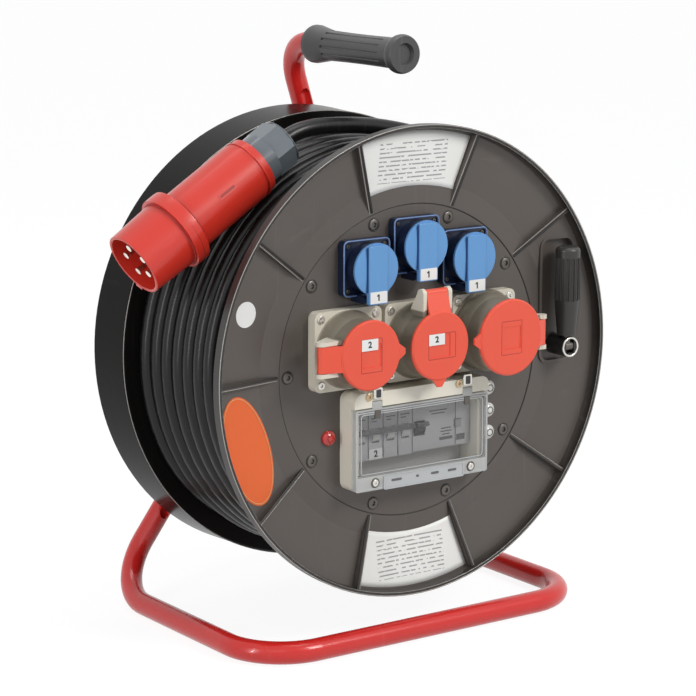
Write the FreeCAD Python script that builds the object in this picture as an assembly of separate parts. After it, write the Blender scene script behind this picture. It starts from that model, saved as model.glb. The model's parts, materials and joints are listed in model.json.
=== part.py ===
import FreeCAD, Part
import math
import os
from FreeCAD import Vector

# An extension cable reel: a plastic drum with sockets and a breaker box on its front panel,
# turning on an axle that a bent steel tube stand carries, and a plug at the cable's end.
# X runs to the right, Y to the back and Z up. Lengths are in millimetres, angles in degrees.
# Places are taken from the drum's axis and from the front edge of its front flange;
# the finished pieces are then moved so that the origin lies on the floor, under the middle.

# General clearances
overrun = 60.0
seat_gap = 0.3
running_gap = 0.4
bearing_gap = 0.05

# Stand tube
tube_radius = 11.0
tube_wall = 2.0
floor_bend_radius = 60.0
top_bend_radius = 42.0
stand_half_width = 193.0
stand_front_y = -16.5
stand_rear_y = 261.5
axis_height = 269.0
grip_axis_x = 20.0
grip_axis_z = 290.8
tube_front_end_y = 68.0
groove_radius = 7.0
groove_offset = 12.6
groove_end_margin = 34.0
hub_margin = 30.0

# Grip
grip_front_y = 55.5
grip_rear_y = 207.5
grip_radius = 15.2
grip_waist_radius = 14.6
grip_collar_radius = 19.2
grip_collar_width = 11.0
grip_flare_length = 18.0
grip_chamfer = 1.6
grip_end_wall = 7.5
grip_recess_radius = 11.0
grip_recess_depth = 4.0
grip_flute_count = 12
grip_flute_radius = 1.3
grip_flute_margin = 26.0

# Axle, spacer, washer and nut
axle_radius = 8.0
axle_head_radius = 14.0
axle_head_thickness = 5.0
axle_chamfer = 1.2
axle_end_margin = 3.0
spacer_radius = 12.5
spacer_depth_on_tube = 6.0
washer_radius = 13.0
washer_thickness = 3.0
nut_radius = 13.5
nut_thickness = 7.0

# Front flange
flange_radius = 230.0
rim_edge_width = 3.5
rim_side = 9.2
rim_width = 5.0
rim_floor_y = 11.6
rim_back_y = 15.5
valley_share = 0.286
valley_y = 18.5
band_gap = 0.7
band_inner_y = 16.6
back_slope_share = 0.4
front_wall_back_y = 23.2
panel_opening_radius = 136.0
fin_count = 10
fin_thickness = 3.2
fin_outer_inset = 3.2
fin_outer_y = 4.2
fin_inner_inset = 2.2
fin_inner_y = 16.8

# Panel disc
panel_radius = 152.6
panel_y = 17.2
panel_thickness = 3.0
panel_screw_circle = 143.0
panel_screw_hole_radius = 2.4

# Barrel and rear flange
barrel_rise = 0.4
barrel_wall = 4.0
rear_web_y = 175.8
rear_web_thickness = 4.0
rear_rim_front_radius = 227.3
rear_rim_back_radius = 229.3
rear_rim_back_y = 230.4
rear_rim_wall = 4.0
rear_rim_lip = 2.0
hub_radius = 27.0
hub_wall_y = 232.0
rear_rib_count = 6
rear_rib_thickness = 4.0
rear_rib_back_y = 222.0
rear_rib_outer_y = 208.0
rear_rib_angle = 30.0

# Cable and its winding
cable_radius = 8.2
turn_gap = 0.45
winding_turns = 7
winding_base_radius = 188.6
core_side_gap = 0.3
winding_start_angle = 205.0
ramp_length = 46.0
ramp_crest_drop = 0.8

# Household sockets with round lids hinged at the bottom
mains_pitch = 58.5
mains_side_z = 98.0
mains_middle_z = 114.5
mains_plate_half = 27.0
mains_plate_corner = 5.0
mains_plate_height = 9.0
mains_border = 2.6
mains_border_depth = 1.5
mains_collar_radius = 23.6
mains_collar_height = 22.2
mains_bore_radius = 19.6
mains_bore_depth = 17.5
mains_pin_radius = 2.6
mains_pin_offset = 9.5
mains_pin_depth = 15.0
mains_back_radius = 21.0
mains_back_depth = 29.0
mains_hinge_drop = 29.0
mains_hinge_y = -2.4
mains_barrel_radius = 3.0
mains_hinge_pin_radius = 1.5
mains_tab_width = 16.0
mains_ear_gap = 0.5
mains_ear_width = 3.4
mains_ear_radius = 3.6
mains_lid_radius = 25.0
mains_lid_thickness = 3.7
mains_lid_edge = 2.4
mains_strip_height = 2.0
mains_strip_top = 23.0
mains_tab_drop = 33.0

# Round industrial sockets: plate, dome, collar, contact carrier and sprung lid
cee_pitch = 81.0
cee_z = 22.0
cee_plate_half = 38.5
cee_plate_corner = 7.0
cee_plate_height = 11.0
cee_screw_offset = 31.5
cee_screw_hole_radius = 2.6
cee_screw_hole_depth = 4.0
cee_dome_radius = 37.6
cee_dome_bulge = 3.2
cee_back_depth = 33.0
cee_back_inset = 2.0
cee_floor_y = 12.0
cee_carrier_drop = 6.0
cee_contact_count = 5
cee_contact_depth = 26.0
cee_hinge_barrel_radius = 4.0
cee_hinge_pin_radius = 2.0
cee_strap_width = 25.0
cee_strap_thickness = 3.4
cee_ear_gap = 0.5
cee_ear_width = 4.0
cee_ear_radius = 5.0
cee_ear_root_y = -4.0
cee_lid_thickness = 4.0
cee_lid_edge = 2.6
cee_lid_tab_length = 6.5
cee_lid_tab_half = 9.0
cee_window_half = 11.0
cee_window_depth = 0.8
small_lid_radius = 33.5
small_collar_radius = 32.5
small_collar_bore = 29.6
small_collar_front_y = -27.5
small_carrier_radius = 24.5
small_contact_circle = 13.6
small_contact_radius = 2.9
small_hinge_reach = 50.0
small_hinge_y = -21.0
large_lid_radius = 37.5
large_collar_radius = 36.4
large_collar_bore = 33.4
large_collar_front_y = -33.5
large_carrier_radius = 28.2
large_contact_circle = 15.6
large_contact_radius = 3.6
large_hinge_reach = 43.5
large_hinge_y = -29.5

# Breaker box, its window and the devices behind it
box_centre_x = -2.5
box_centre_z = -68.5
box_half_width = 80.5
box_half_height = 48.5
box_corner = 9.0
box_wall = 3.0
box_frame_y = -1.0
box_bar_y = -7.0
box_bar_height = 14.5
tub_half_width = 74.0
tub_half_height = 43.0
tub_back_y = 76.0
window_clearance = 1.4
window_front_y = -7.2
window_wall = 2.4
window_bottom_band = 15.0
window_hinge_y = -4.2
window_hinge_rise = 3.2
window_knuckle_radius = 2.8
window_knuckle_offset = 54.0
window_knuckle_width = 11.0
window_notch_gap = 0.5
window_hinge_pin_radius = 1.3
module_width = 17.5
module_count = 4
device_margin = 1.0
device_front_y = 10.0
device_shoulder_y = 26.0
device_back_y = 68.0
device_nose_half = 22.5
device_gap = 0.1
lever_axis_y = 15.0
lever_axis_z = -67.0
lever_drum_radius = 7.0
lever_drum_width = 8.4
lever_slot_gap = 0.4
lever_reach_y = 1.5
lever_thickness = 4.2
lever_tilt = 25.0
tie_bar_depth = 5.0
tie_bar_height = 5.2
rcd_lever_width = 13.0
rcd_lever_centre_share = 0.12
test_button_centre_share = 0.78
test_button_size = 7.0
test_button_proud = 2.4
test_button_depth = 7.0
rail_half_height = 17.5
rail_thickness = 1.2
rail_lip = 6.0

# Lamps on the panel
lamp_radius = 7.2
lamp_height = 5.6
lamp_flange_height = 2.0
lamp_neck_radius = 4.2
lamp_neck_depth = 9.0
lamp_hole_gap = 0.3
lamp_x = 95.0
lamp_top_z = -38.5
lamp_pitch = 22.5
fault_lamp_x = -97.0
fault_lamp_z = -64.0

# Folding crank
crank_inset = 9.8
crank_pivot_z = -4.0
crank_axis_y = 0.0
crank_boss_radius = 10.5
crank_boss_front_y = -6.0
crank_slot_half = 5.0
crank_slot_gap = 0.4
crank_slot_bottom = 6.4
crank_eye_radius = 5.4
crank_pin_radius = 2.2
crank_rod_radius = 4.2
crank_knob_bottom_z = 8.0
crank_knob_top_z = 97.0
crank_knob_radius = 12.4
crank_knob_foot_radius = 9.6
crank_knob_waist_z = 40.0
crank_knob_sag = 0.2
crank_knob_cap = 4.0
crank_head_radius = 7.5
crank_head_height = 3.0
crank_flute_count = 14
crank_flute_radius = 1.1
crank_flute_bottom_z = 43.0
crank_flute_top_z = 86.0
pocket_left_reach = 19.5
pocket_right_reach = 16.5
pocket_bottom_z = -20.0
pocket_top_z = 103.0
pocket_corner = 9.0
pocket_floor_y = 20.2

# Plug on the cable's end, lying on the winding
plug_y = 84.0
plug_tilt = 32.0
plug_length_to_foot = 169.0
plug_sleeve_length = 47.0
plug_mouth_radius = 31.8
plug_sleeve_radius = 33.8
plug_sleeve_bore = 28.8
plug_sleeve_depth = 38.0
plug_collar_radius = 37.8
plug_collar_length = 14.0
plug_neck_radius = 30.4
plug_rear_radius = 29.0
plug_body_end = 156.0
plug_body_step = 12.0
plug_ridge_width = 8.0
plug_ridge_height = 3.0
plug_ridge_length = 16.0
plug_ridge_angle = 150.0
plug_core_radius = 24.0
plug_core_proud = 2.0
plug_pin_circle = 15.6
plug_pin_radius = 3.4
plug_pin_length = 32.0
plug_nut_neck_radius = 24.5
plug_nut_neck_length = 14.0
plug_nut_radius = 25.0
plug_nut_end = 195.0
plug_nut_chamfer = 3.0

# Route of the cable's free end, from the plug over the winding to the channel beside the
# front flange: angle about the drum's axis, distance from it, and Y
tail_route = [
    (98.0, 226.0, 88.0),
    (84.0, 219.0, 91.0),
    (67.0, 218.6, 88.0),
    (49.0, 218.8, 80.0),
    (31.0, 218.8, 70.0),
    (13.0, 218.8, 59.0),
    (-5.0, 218.8, 48.0),
    (-23.0, 218.8, 39.0),
    (-41.0, 218.6, 33.4),
    (-59.0, 216.5, 32.3),
    (-77.0, 212.0, 32.1),
    (-95.0, 207.0, 32.3),
    (-113.0, 203.0, 32.1),
    (-131.0, 200.4, 32.3),
    (-149.0, 199.9, 32.1),
]
tail_first_run = 20.0
tail_arc_share = 0.45

# Derived places
rim_inner_radius = flange_radius - rim_width
band_inner_radius = panel_radius + band_gap
valley_radius = band_inner_radius + valley_share * (rim_inner_radius - band_inner_radius)
back_slope_radius = band_inner_radius + back_slope_share * (rim_inner_radius - band_inner_radius)
fin_outer_radius = flange_radius - fin_outer_inset
fin_inner_radius = band_inner_radius + fin_inner_inset
barrel_radius = panel_radius + barrel_rise
crank_x = (panel_radius + flange_radius) / 2 - crank_inset
pocket_left_x = crank_x - pocket_left_reach
pocket_right_x = crank_x + pocket_right_reach
floor_tube_z = tube_radius - axis_height
core_front_y = front_wall_back_y + core_side_gap
core_back_y = rear_web_y - core_side_gap
turn_pitch = 2 * cable_radius + turn_gap
winding_radius = winding_base_radius + turn_gap + cable_radius
winding_back_y = rear_web_y - core_side_gap - cable_radius
winding_front_y = winding_back_y - winding_turns * turn_pitch
end_reach = math.hypot(winding_radius + cable_radius, 2 * cable_radius)
box_top_z = box_centre_z + box_half_height
window_hinge_z = box_top_z - box_bar_height + window_hinge_rise
nut_front_y = stand_rear_y + tube_radius + washer_thickness
axle_end_y = nut_front_y + nut_thickness + axle_end_margin
reel_front_y = large_collar_front_y - seat_gap - cee_lid_thickness
shift_y = -(reel_front_y + axle_end_y) / 2

os.makedirs("parts", exist_ok=True)


# Shared helpers

def save(name, shape):
    """Moves a finished piece to the floor origin and writes it."""
    moved = shape.copy()
    moved.translate(Vector(0, shift_y, axis_height))
    moved.exportStep(os.path.join("parts", name + ".step"))
    print(name, "solids", len(moved.Solids), "volume %.0f" % moved.Volume, "valid", moved.isValid())


def rod(radius, start, end):
    """A round bar between two points."""
    along = end.sub(start)
    return Part.makeCylinder(radius, along.Length, start, along)


def rod_y(radius, y_from, y_to, x=0, z=0):
    """A round bar along Y."""
    return rod(radius, Vector(x, y_from, z), Vector(x, y_to, z))


def block(x_from, x_to, y_from, y_to, z_from, z_to):
    """A box between two corners."""
    size = (x_to - x_from, y_to - y_from, z_to - z_from)
    return Part.makeBox(*size, Vector(x_from, y_from, z_from))


def rounded_block(x_from, x_to, y_from, y_to, z_from, z_to, corner):
    """A box whose four edges along Y are rounded."""
    body = block(x_from, x_to, y_from, y_to, z_from, z_to)
    edges = [e for e in body.Edges if abs(e.tangentAt(e.FirstParameter).y) > 0.5]
    return body.makeFillet(corner, edges)


def profile_edges(points):
    """Edges through points; an entry that holds two points is an arc through the first."""
    edges = []
    here = points[0]
    for entry in points[1:] + points[:1]:
        if isinstance(entry, tuple):
            middle, there = entry
            edges.append(Part.Arc(here, middle, there).toShape())
        else:
            there = entry
            edges.append(Part.LineSegment(here, there).toShape())
        here = there
    return edges


def dome(radius, edge_y, crown_y):
    """The profile entry of a cap whose arc runs from an edge to the crown on the axis."""
    height = crown_y - edge_y
    ball = (radius ** 2 + height ** 2) / (2 * height)
    half = math.asin(radius / abs(ball)) / 2
    middle = (abs(ball) * math.sin(half), crown_y - ball * (1 - math.cos(half)))
    return middle, (0, crown_y)


def turned(profile, x=0, z=0):
    """A profile of (radius, y) entries turned about the Y line through x and z."""
    points = []
    for entry in profile:
        if isinstance(entry[0], tuple):
            points.append(tuple(Vector(r, y, 0) for r, y in entry))
        else:
            points.append(Vector(entry[0], entry[1], 0))
    face = Part.Face(Part.Wire(profile_edges(points)))
    solid = face.revolve(Vector(0, 0, 0), Vector(0, 1, 0), 360)
    solid.translate(Vector(x, 0, z))
    return solid


def plate_u(profile, v_from, v_to):
    """A plate with an outline of (x, y) points, standing between two Z values."""
    points = [Vector(x, y, v_from) for x, y in profile]
    face = Part.Face(Part.makePolygon(points + points[:1]))
    return face.extrude(Vector(0, 0, v_to - v_from))


def turn_about_axis(shape, angle, x=0, z=0):
    """Turns a shape about the Y line through x and z, from +X towards +Z."""
    turned_shape = shape.copy()
    turned_shape.rotate(Vector(x, 0, z), Vector(0, 1, 0), -angle)
    return turned_shape


def around(shape, count, first=0.0):
    """Copies of a shape spaced evenly about the drum's axis."""
    return [turn_about_axis(shape, first + 360.0 * i / count) for i in range(count)]


def polar(angle, radius, y):
    """A point at an angle and a distance from the drum's axis."""
    a = math.radians(angle)
    return Vector(radius * math.cos(a), y, radius * math.sin(a))


def unit(vector):
    """The same direction with a length of one."""
    return vector.multiply(1 / vector.Length) if vector.Length else vector


def bend_points(before, corner, after, radius):
    """Start, middle and end of the arc that rounds a corner of a route."""
    back = unit(before.sub(corner))
    on = unit(after.sub(corner))
    half = back.getAngle(on) / 2
    reach = radius / math.tan(half)
    centre = corner.add(unit(back.add(on)).multiply(radius / math.sin(half)))
    middle = centre.add(unit(corner.sub(centre)).multiply(radius))
    return corner.add(back.multiply(reach)), middle, corner.add(on.multiply(reach))


def route_wire(points, radii):
    """Straight runs through the points, joined by an arc at each inner point."""
    edges = []
    here = points[0]
    for i, radius in enumerate(radii, start=1):
        start, middle, end = bend_points(points[i - 1], points[i], points[i + 1], radius)
        edges.append(Part.LineSegment(here, start).toShape())
        edges.append(Part.Arc(start, middle, end).toShape())
        here = end
    edges.append(Part.LineSegment(here, points[-1]).toShape())
    return Part.Wire(edges)


def swept_rod(wire, radius):
    """A round bar that follows a wire."""
    first = wire.Edges[0]
    start = first.Vertexes[0].Point
    along = first.tangentAt(first.FirstParameter)
    circle = Part.Wire(Part.Circle(start, along, radius).toShape())
    return wire.makePipeShell([circle], True, False)


def capsule(radius, start, end):
    """A round bar with ball ends."""
    body = rod(radius, start, end)
    for point in (start, end):
        body = body.fuse(Part.makeSphere(radius, point))
    return body


# Stand

corner_right = Vector(stand_half_width, stand_rear_y, floor_tube_z)
corner_left = Vector(-stand_half_width, stand_rear_y, floor_tube_z)
front_right = Vector(stand_half_width, stand_front_y, floor_tube_z)
front_left = Vector(-stand_half_width, stand_front_y, floor_tube_z)
top_corner = Vector(grip_axis_x, stand_rear_y, grip_axis_z)
grip_tube_end = Vector(grip_axis_x, tube_front_end_y, grip_axis_z)
hub_point = Vector(0, stand_rear_y, 0)


def arm_crossing():
    """Where the left upright, which passes the hub, meets the arm's centre line."""
    rise = -floor_tube_z / stand_half_width
    lean = (grip_axis_x - stand_half_width) / (grip_axis_z - floor_tube_z)
    z = (stand_half_width - lean * floor_tube_z) / (1 / rise - lean)
    return Vector(z / rise, stand_rear_y, z)


def groove_pair(start, end):
    """The pressed groove of a tube's front side, and the same groove grown by the wall."""
    offset = Vector(0, -groove_offset, 0)
    first, last = start.add(offset), end.add(offset)
    return capsule(groove_radius, first, last), capsule(groove_radius + tube_wall, first, last)


def grooved(outer, inner, stretches):
    """A hollow tube with grooves pressed into its front side, its wall kept all round."""
    for start, end in stretches:
        groove, grown = groove_pair(start, end)
        outer = outer.cut(groove)
        inner = inner.cut(grown)
    return outer.cut(inner)


def make_frame_base():
    """The floor loop, with its two front bends and the two bends up into the rear tubes."""
    right_end = bend_points(top_corner, corner_right, front_right, floor_bend_radius)[0]
    left_end = bend_points(front_left, corner_left, arm_crossing(), floor_bend_radius)[2]
    points = [right_end, corner_right, front_right, front_left, corner_left, left_end]
    edges = []
    here = right_end
    for before, corner, after in zip(points, points[1:], points[2:]):
        start, middle, end = bend_points(before, corner, after, floor_bend_radius)
        if start.sub(here).Length > seat_gap:
            edges.append(Part.LineSegment(here, start).toShape())
        edges.append(Part.Arc(start, middle, end).toShape())
        here = end
    wire = Part.Wire(edges)
    return swept_rod(wire, tube_radius).cut(swept_rod(wire, tube_radius - tube_wall))


def make_frame_arm():
    """The leaning arm, its top bend and the straight end that the grip sits on."""
    low_end = bend_points(top_corner, corner_right, front_right, floor_bend_radius)[0]
    wire = route_wire([low_end, top_corner, grip_tube_end], [top_bend_radius])
    up = unit(top_corner.sub(low_end))
    stretch = top_corner.sub(low_end).Length - top_bend_radius
    bottom = low_end.add(Vector(up).multiply(groove_end_margin))
    top = low_end.add(Vector(up).multiply(stretch - groove_end_margin / 2))
    outer = swept_rod(wire, tube_radius)
    inner = swept_rod(wire, tube_radius - tube_wall)
    return grooved(outer, inner, [(bottom, top)])


def make_frame_upright():
    """The straight tube that leans in from the left, carries the axle and meets the arm."""
    low_end = bend_points(front_left, corner_left, arm_crossing(), floor_bend_radius)[2]
    high_end = arm_crossing()
    up = unit(high_end.sub(low_end))
    hub_low = hub_point.sub(Vector(up).multiply(hub_margin))
    hub_high = hub_point.add(Vector(up).multiply(hub_margin))
    low = low_end.add(Vector(up).multiply(groove_end_margin))
    high = high_end.sub(Vector(up).multiply(groove_end_margin))
    stretches = [(low, hub_low), (hub_high, high)]
    outer = rod(tube_radius, low_end, high_end)
    inner = rod(tube_radius - tube_wall, low_end, high_end)
    tube = grooved(outer, inner, stretches)
    arm_line = unit(top_corner.sub(corner_right)).multiply(overrun)
    arm = rod(tube_radius, high_end.sub(arm_line), high_end.add(arm_line))
    bore = rod_y(axle_radius + bearing_gap, stand_rear_y - overrun, stand_rear_y + overrun)
    return tube.cut(arm).cut(bore)


def make_grip():
    """The rubber grip: collars at both ends, a flare, long flutes and a blind bore."""
    bore = tube_radius + bearing_gap
    front, rear = grip_front_y, grip_rear_y
    profile = [
        (0, front + grip_recess_depth),
        (grip_recess_radius - grip_chamfer, front + grip_recess_depth),
        (grip_recess_radius, front),
        (grip_collar_radius - grip_chamfer, front),
        ((grip_collar_radius, front + grip_collar_width / 2),
         (grip_collar_radius - grip_chamfer, front + grip_collar_width)),
        (grip_radius, front + grip_collar_width + grip_chamfer),
        ((grip_waist_radius, (front + rear) / 2),
         (grip_radius, rear - grip_collar_width - grip_flare_length)),
        (grip_collar_radius, rear - grip_collar_width / 2),
        (grip_collar_radius, rear - grip_chamfer),
        (grip_collar_radius - grip_chamfer, rear),
        (bore, rear),
        (bore, front + grip_recess_depth + grip_end_wall),
        (0, front + grip_recess_depth + grip_end_wall),
    ]
    body = turned(profile, grip_axis_x, grip_axis_z)
    flute = rod_y(grip_flute_radius, front + grip_flute_margin,
                  rear - grip_collar_width - grip_flare_length,
                  grip_axis_x + grip_radius, grip_axis_z)
    for i in range(grip_flute_count):
        angle = 360.0 * i / grip_flute_count
        body = body.cut(turn_about_axis(flute, angle, grip_axis_x, grip_axis_z))
    return body


def make_axle():
    """The axle, with its head inside the drum and its threaded end behind the stand."""
    head_back = rear_web_y - running_gap
    head_front = head_back - axle_head_thickness
    profile = [
        (0, head_front),
        (axle_head_radius - axle_chamfer, head_front),
        (axle_head_radius, head_front + axle_chamfer),
        (axle_head_radius, head_back),
        (axle_radius, head_back),
        (axle_radius, axle_end_y - axle_chamfer),
        (axle_radius - axle_chamfer, axle_end_y),
        (0, axle_end_y),
    ]
    return turned(profile)


def stand_tube_at_hub():
    """The upright's outside near the hub, for the saddles that sit on it."""
    up = unit(arm_crossing().sub(corner_left)).multiply(overrun)
    return rod(tube_radius, hub_point.sub(up), hub_point.add(up))


def make_axle_spacer():
    """The sleeve between the drum's hub and the stand tube, with a saddle end."""
    start = hub_wall_y + running_gap
    end = stand_rear_y - tube_radius + spacer_depth_on_tube
    sleeve = rod_y(spacer_radius, start, end)
    bore = rod_y(axle_radius + bearing_gap, start - overrun, end + overrun)
    return sleeve.cut(bore).cut(stand_tube_at_hub())


def make_axle_washer():
    """The saddle washer behind the stand tube."""
    start = stand_rear_y + tube_radius - spacer_depth_on_tube
    sleeve = rod_y(washer_radius, start, nut_front_y)
    bore = rod_y(axle_radius + bearing_gap, start - overrun, nut_front_y + overrun)
    return sleeve.cut(bore).cut(stand_tube_at_hub())


def hexagon(radius, y_from, y_to):
    """A six-sided bar along Y on the drum's axis, as wide as the radius across its corners."""
    points = [polar(60.0 * i, radius, y_from) for i in range(6)]
    face = Part.Face(Part.makePolygon(points + points[:1]))
    return face.extrude(Vector(0, y_to - y_from, 0))


def make_axle_nut():
    """The nut on the axle's end."""
    body = hexagon(nut_radius, nut_front_y, nut_front_y + nut_thickness)
    bore = rod_y(axle_radius + bearing_gap, nut_front_y - overrun, nut_front_y + overrun)
    return body.cut(bore)


# Drum

def make_front_flange():
    """The front flange: rim, sloping floor, raised band, radial fins and the crank's pocket."""
    seat_y = panel_y + panel_thickness
    profile = [
        (flange_radius, 0),
        (flange_radius, rim_side),
        (rim_inner_radius, rim_back_y),
        (back_slope_radius, front_wall_back_y),
        (panel_opening_radius, front_wall_back_y),
        (panel_opening_radius, seat_y),
        (band_inner_radius, seat_y),
        (band_inner_radius, band_inner_y),
        (valley_radius, valley_y),
        (rim_inner_radius, rim_floor_y),
        (flange_radius - rim_edge_width, 0),
    ]
    body = turned(profile)
    fin_back = (valley_y + front_wall_back_y) / 2
    fin_profile = [
        (fin_outer_radius, fin_outer_y),
        (rim_inner_radius, (rim_floor_y + rim_back_y) / 2),
        (valley_radius, fin_back),
        (fin_inner_radius, fin_back),
        (fin_inner_radius, fin_inner_y),
    ]
    fin = plate_u(fin_profile, -fin_thickness / 2, fin_thickness / 2)
    fins = around(fin, fin_count)[1:]
    tray = rounded_block(pocket_left_x - box_wall, pocket_right_x + box_wall, rim_back_y,
                         front_wall_back_y, pocket_bottom_z - box_wall,
                         pocket_top_z + box_wall, pocket_corner + box_wall)
    hollow = rounded_block(pocket_left_x, pocket_right_x, -overrun, pocket_floor_y,
                           pocket_bottom_z, pocket_top_z, pocket_corner)
    tray = tray.common(rod_y(rim_inner_radius, 0, front_wall_back_y))
    body = body.multiFuse(fins + [tray])
    holes = around(rod_y(panel_screw_hole_radius, 0, front_wall_back_y, panel_screw_circle), fin_count)
    return body.cut(hollow).cut(Part.makeCompound(holes))


def make_panel_disc():
    """The panel disc, with the openings for the sockets, the breaker box and the lamps."""
    disc = rod_y(panel_radius, panel_y, panel_y + panel_thickness)
    cuts = [rod_y(mains_back_radius + seat_gap, 0, overrun, x, z) for x, z in mains_places]
    cuts += [rod_y(cee["collar"] + seat_gap - cee_back_inset, 0, overrun, cee["x"], cee_z)
             for cee in cee_sockets]
    cuts.append(block(box_centre_x - tub_half_width - seat_gap, box_centre_x + tub_half_width + seat_gap,
                      0, overrun, box_centre_z - tub_half_height - seat_gap,
                      box_centre_z + tub_half_height + seat_gap))
    cuts += [rod_y(lamp_neck_radius + lamp_hole_gap, 0, overrun, x, z) for x, z in lamp_places]
    cuts += around(rod_y(panel_screw_hole_radius, 0, overrun, panel_screw_circle), fin_count)
    return disc.cut(Part.makeCompound(cuts))


def make_barrel():
    """The tube that joins the two flanges and holds the cable."""
    outer = rod_y(barrel_radius, front_wall_back_y, rear_web_y)
    return outer.cut(rod_y(barrel_radius - barrel_wall, 0, rear_web_y + overrun))


def make_rear_flange():
    """The rear flange: web, deep rim, hub with the bearing bore, and radial ribs."""
    web_back = rear_web_y + rear_web_thickness
    profile = [
        (axle_radius + bearing_gap, rear_web_y),
        (rear_rim_front_radius - rear_rim_lip, rear_web_y),
        (rear_rim_front_radius, rear_web_y + rear_rim_lip),
        (rear_rim_back_radius, rear_rim_back_y - rear_rim_lip),
        (rear_rim_back_radius - rear_rim_lip, rear_rim_back_y),
        (rear_rim_back_radius - rear_rim_wall, rear_rim_back_y),
        (rear_rim_front_radius - rear_rim_wall, web_back),
        (hub_radius + rear_rim_wall, web_back),
        (hub_radius, hub_wall_y),
        (axle_radius + bearing_gap, hub_wall_y),
    ]
    body = turned(profile)
    inside = (web_back + rear_web_y) / 2
    rib_profile = [
        (hub_radius - rear_rim_wall, inside),
        (rear_rim_front_radius - rear_rim_wall / 2, inside),
        (rear_rim_front_radius - rear_rim_wall / 2, rear_rib_outer_y),
        (hub_radius - rear_rim_wall, rear_rib_back_y),
    ]
    rib = plate_u(rib_profile, -rear_rib_thickness / 2, rear_rib_thickness / 2)
    return body.multiFuse(around(rib, rear_rib_count, rear_rib_angle))


# Cable on the drum

def winding_point(turns):
    """A point of the outer layer's centre line, counted in turns from the front end."""
    angle = winding_start_angle + 360.0 * turns
    return polar(angle, winding_radius, winding_front_y + turn_pitch * turns)


def winding_direction(turns):
    """The direction of the outer layer's centre line at a point."""
    a = math.radians(winding_start_angle + 360.0 * turns)
    rise = turn_pitch / (2 * math.pi)
    return unit(Vector(-winding_radius * math.sin(a), rise, winding_radius * math.cos(a)))


def biarc(start, start_way, end, end_way):
    """Two arcs that join two points and leave and arrive in the given directions."""
    chord = end.sub(start)
    ways = start_way.add(end_way)
    a = 2 * (1 - start_way.dot(end_way))
    b = 2 * chord.dot(ways)
    c = -chord.dot(chord)
    reach = (-b + math.sqrt(b * b - 4 * a * c)) / (2 * a)
    first_corner = start.add(Vector(start_way).multiply(reach))
    last_corner = end.sub(Vector(end_way).multiply(reach))
    joint = first_corner.add(last_corner).multiply(1 / 2)
    edges = []
    for begin, corner, finish in ((start, first_corner, joint), (joint, last_corner, end)):
        half = begin.sub(corner).getAngle(finish.sub(corner)) / 2
        way = unit(begin.add(finish).multiply(1 / 2).sub(corner))
        centre_distance = reach / math.cos(half)
        radius = reach * math.tan(half)
        middle = corner.add(way.multiply(centre_distance - radius))
        edges.append(Part.Arc(begin, middle, finish).toShape())
    return edges


def winding_wire():
    """The outer layer's centre line: a straight end, half turns of two arcs, a straight end."""
    steps = 2 * winding_turns
    first, last = winding_point(0), winding_point(winding_turns)
    lead_in = first.sub(winding_direction(0).multiply(2 * cable_radius))
    lead_out = last.add(winding_direction(winding_turns).multiply(2 * cable_radius))
    edges = [Part.LineSegment(lead_in, first).toShape()]
    for i in range(steps):
        here, there = i / 2, (i + 1) / 2
        edges += biarc(winding_point(here), winding_direction(here),
                       winding_point(there), winding_direction(there))
    edges.append(Part.LineSegment(last, lead_out).toShape())
    return Part.Wire(edges)


def least_turn_gap(wire):
    """The least clear distance between neighbouring turns, measured on points."""
    steps_per_turn = 360
    points = wire.discretize(Number=winding_turns * steps_per_turn)
    least = overrun
    for i, here in enumerate(points):
        for there in points[i + steps_per_turn // 2:i + 3 * steps_per_turn // 2]:
            least = min(least, here.sub(there).Length)
    return least - 2 * cable_radius


def make_cable_winding():
    """The outer layer of turns, as one unbroken tube."""
    wire = winding_wire()
    tube = swept_rod(wire, cable_radius)
    section = math.pi * cable_radius ** 2
    print("winding length %.0f" % wire.Length, "volume share %.4f" % (tube.Volume / section / wire.Length),
          "least gap between turns %.2f" % least_turn_gap(wire))
    return tube


def climb_ramp(turns, sign):
    """The place where the outer layer climbs from the layer below, at one of its ends."""
    way = winding_direction(turns).multiply(sign)
    face_centre = winding_point(turns).add(Vector(way).multiply(2 * cable_radius))
    middle_y = face_centre.y
    y_from = max(middle_y - cable_radius, core_front_y)
    y_to = min(middle_y + cable_radius, core_back_y)
    crest = winding_radius + cable_radius - ramp_crest_drop
    ring = rod_y(crest, y_from, y_to).cut(rod_y(winding_base_radius - cable_radius, y_from, y_to))
    angle = winding_start_angle + 360.0 * turns
    radial = polar(angle, 1, 0)
    side = Vector(0, 1, 0)
    corner = face_centre.sub(Vector(radial).multiply(overrun)).sub(Vector(side).multiply(overrun))
    corners = [corner, corner.add(Vector(radial).multiply(2 * overrun)),
               corner.add(Vector(radial).multiply(2 * overrun)).add(Vector(side).multiply(2 * overrun)),
               corner.add(Vector(side).multiply(2 * overrun))]
    face = Part.Face(Part.makePolygon(corners + corners[:1]))
    return ring.common(face.extrude(Vector(way).multiply(ramp_length)))


def make_cable_core():
    """The layers under the outer one, with the ramps at which the outer layer begins and ends."""
    outer = rod_y(winding_base_radius, core_front_y, core_back_y)
    inner = rod_y(barrel_radius + seat_gap, 0, rear_web_y + overrun)
    ramps = [climb_ramp(0, -1), climb_ramp(winding_turns, 1)]
    return outer.cut(inner).multiFuse(ramps)


# Sockets with blue lids

mains_places = [
    (-mains_pitch, mains_side_z),
    (0.0, mains_middle_z),
    (mains_pitch, mains_side_z),
]


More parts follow.
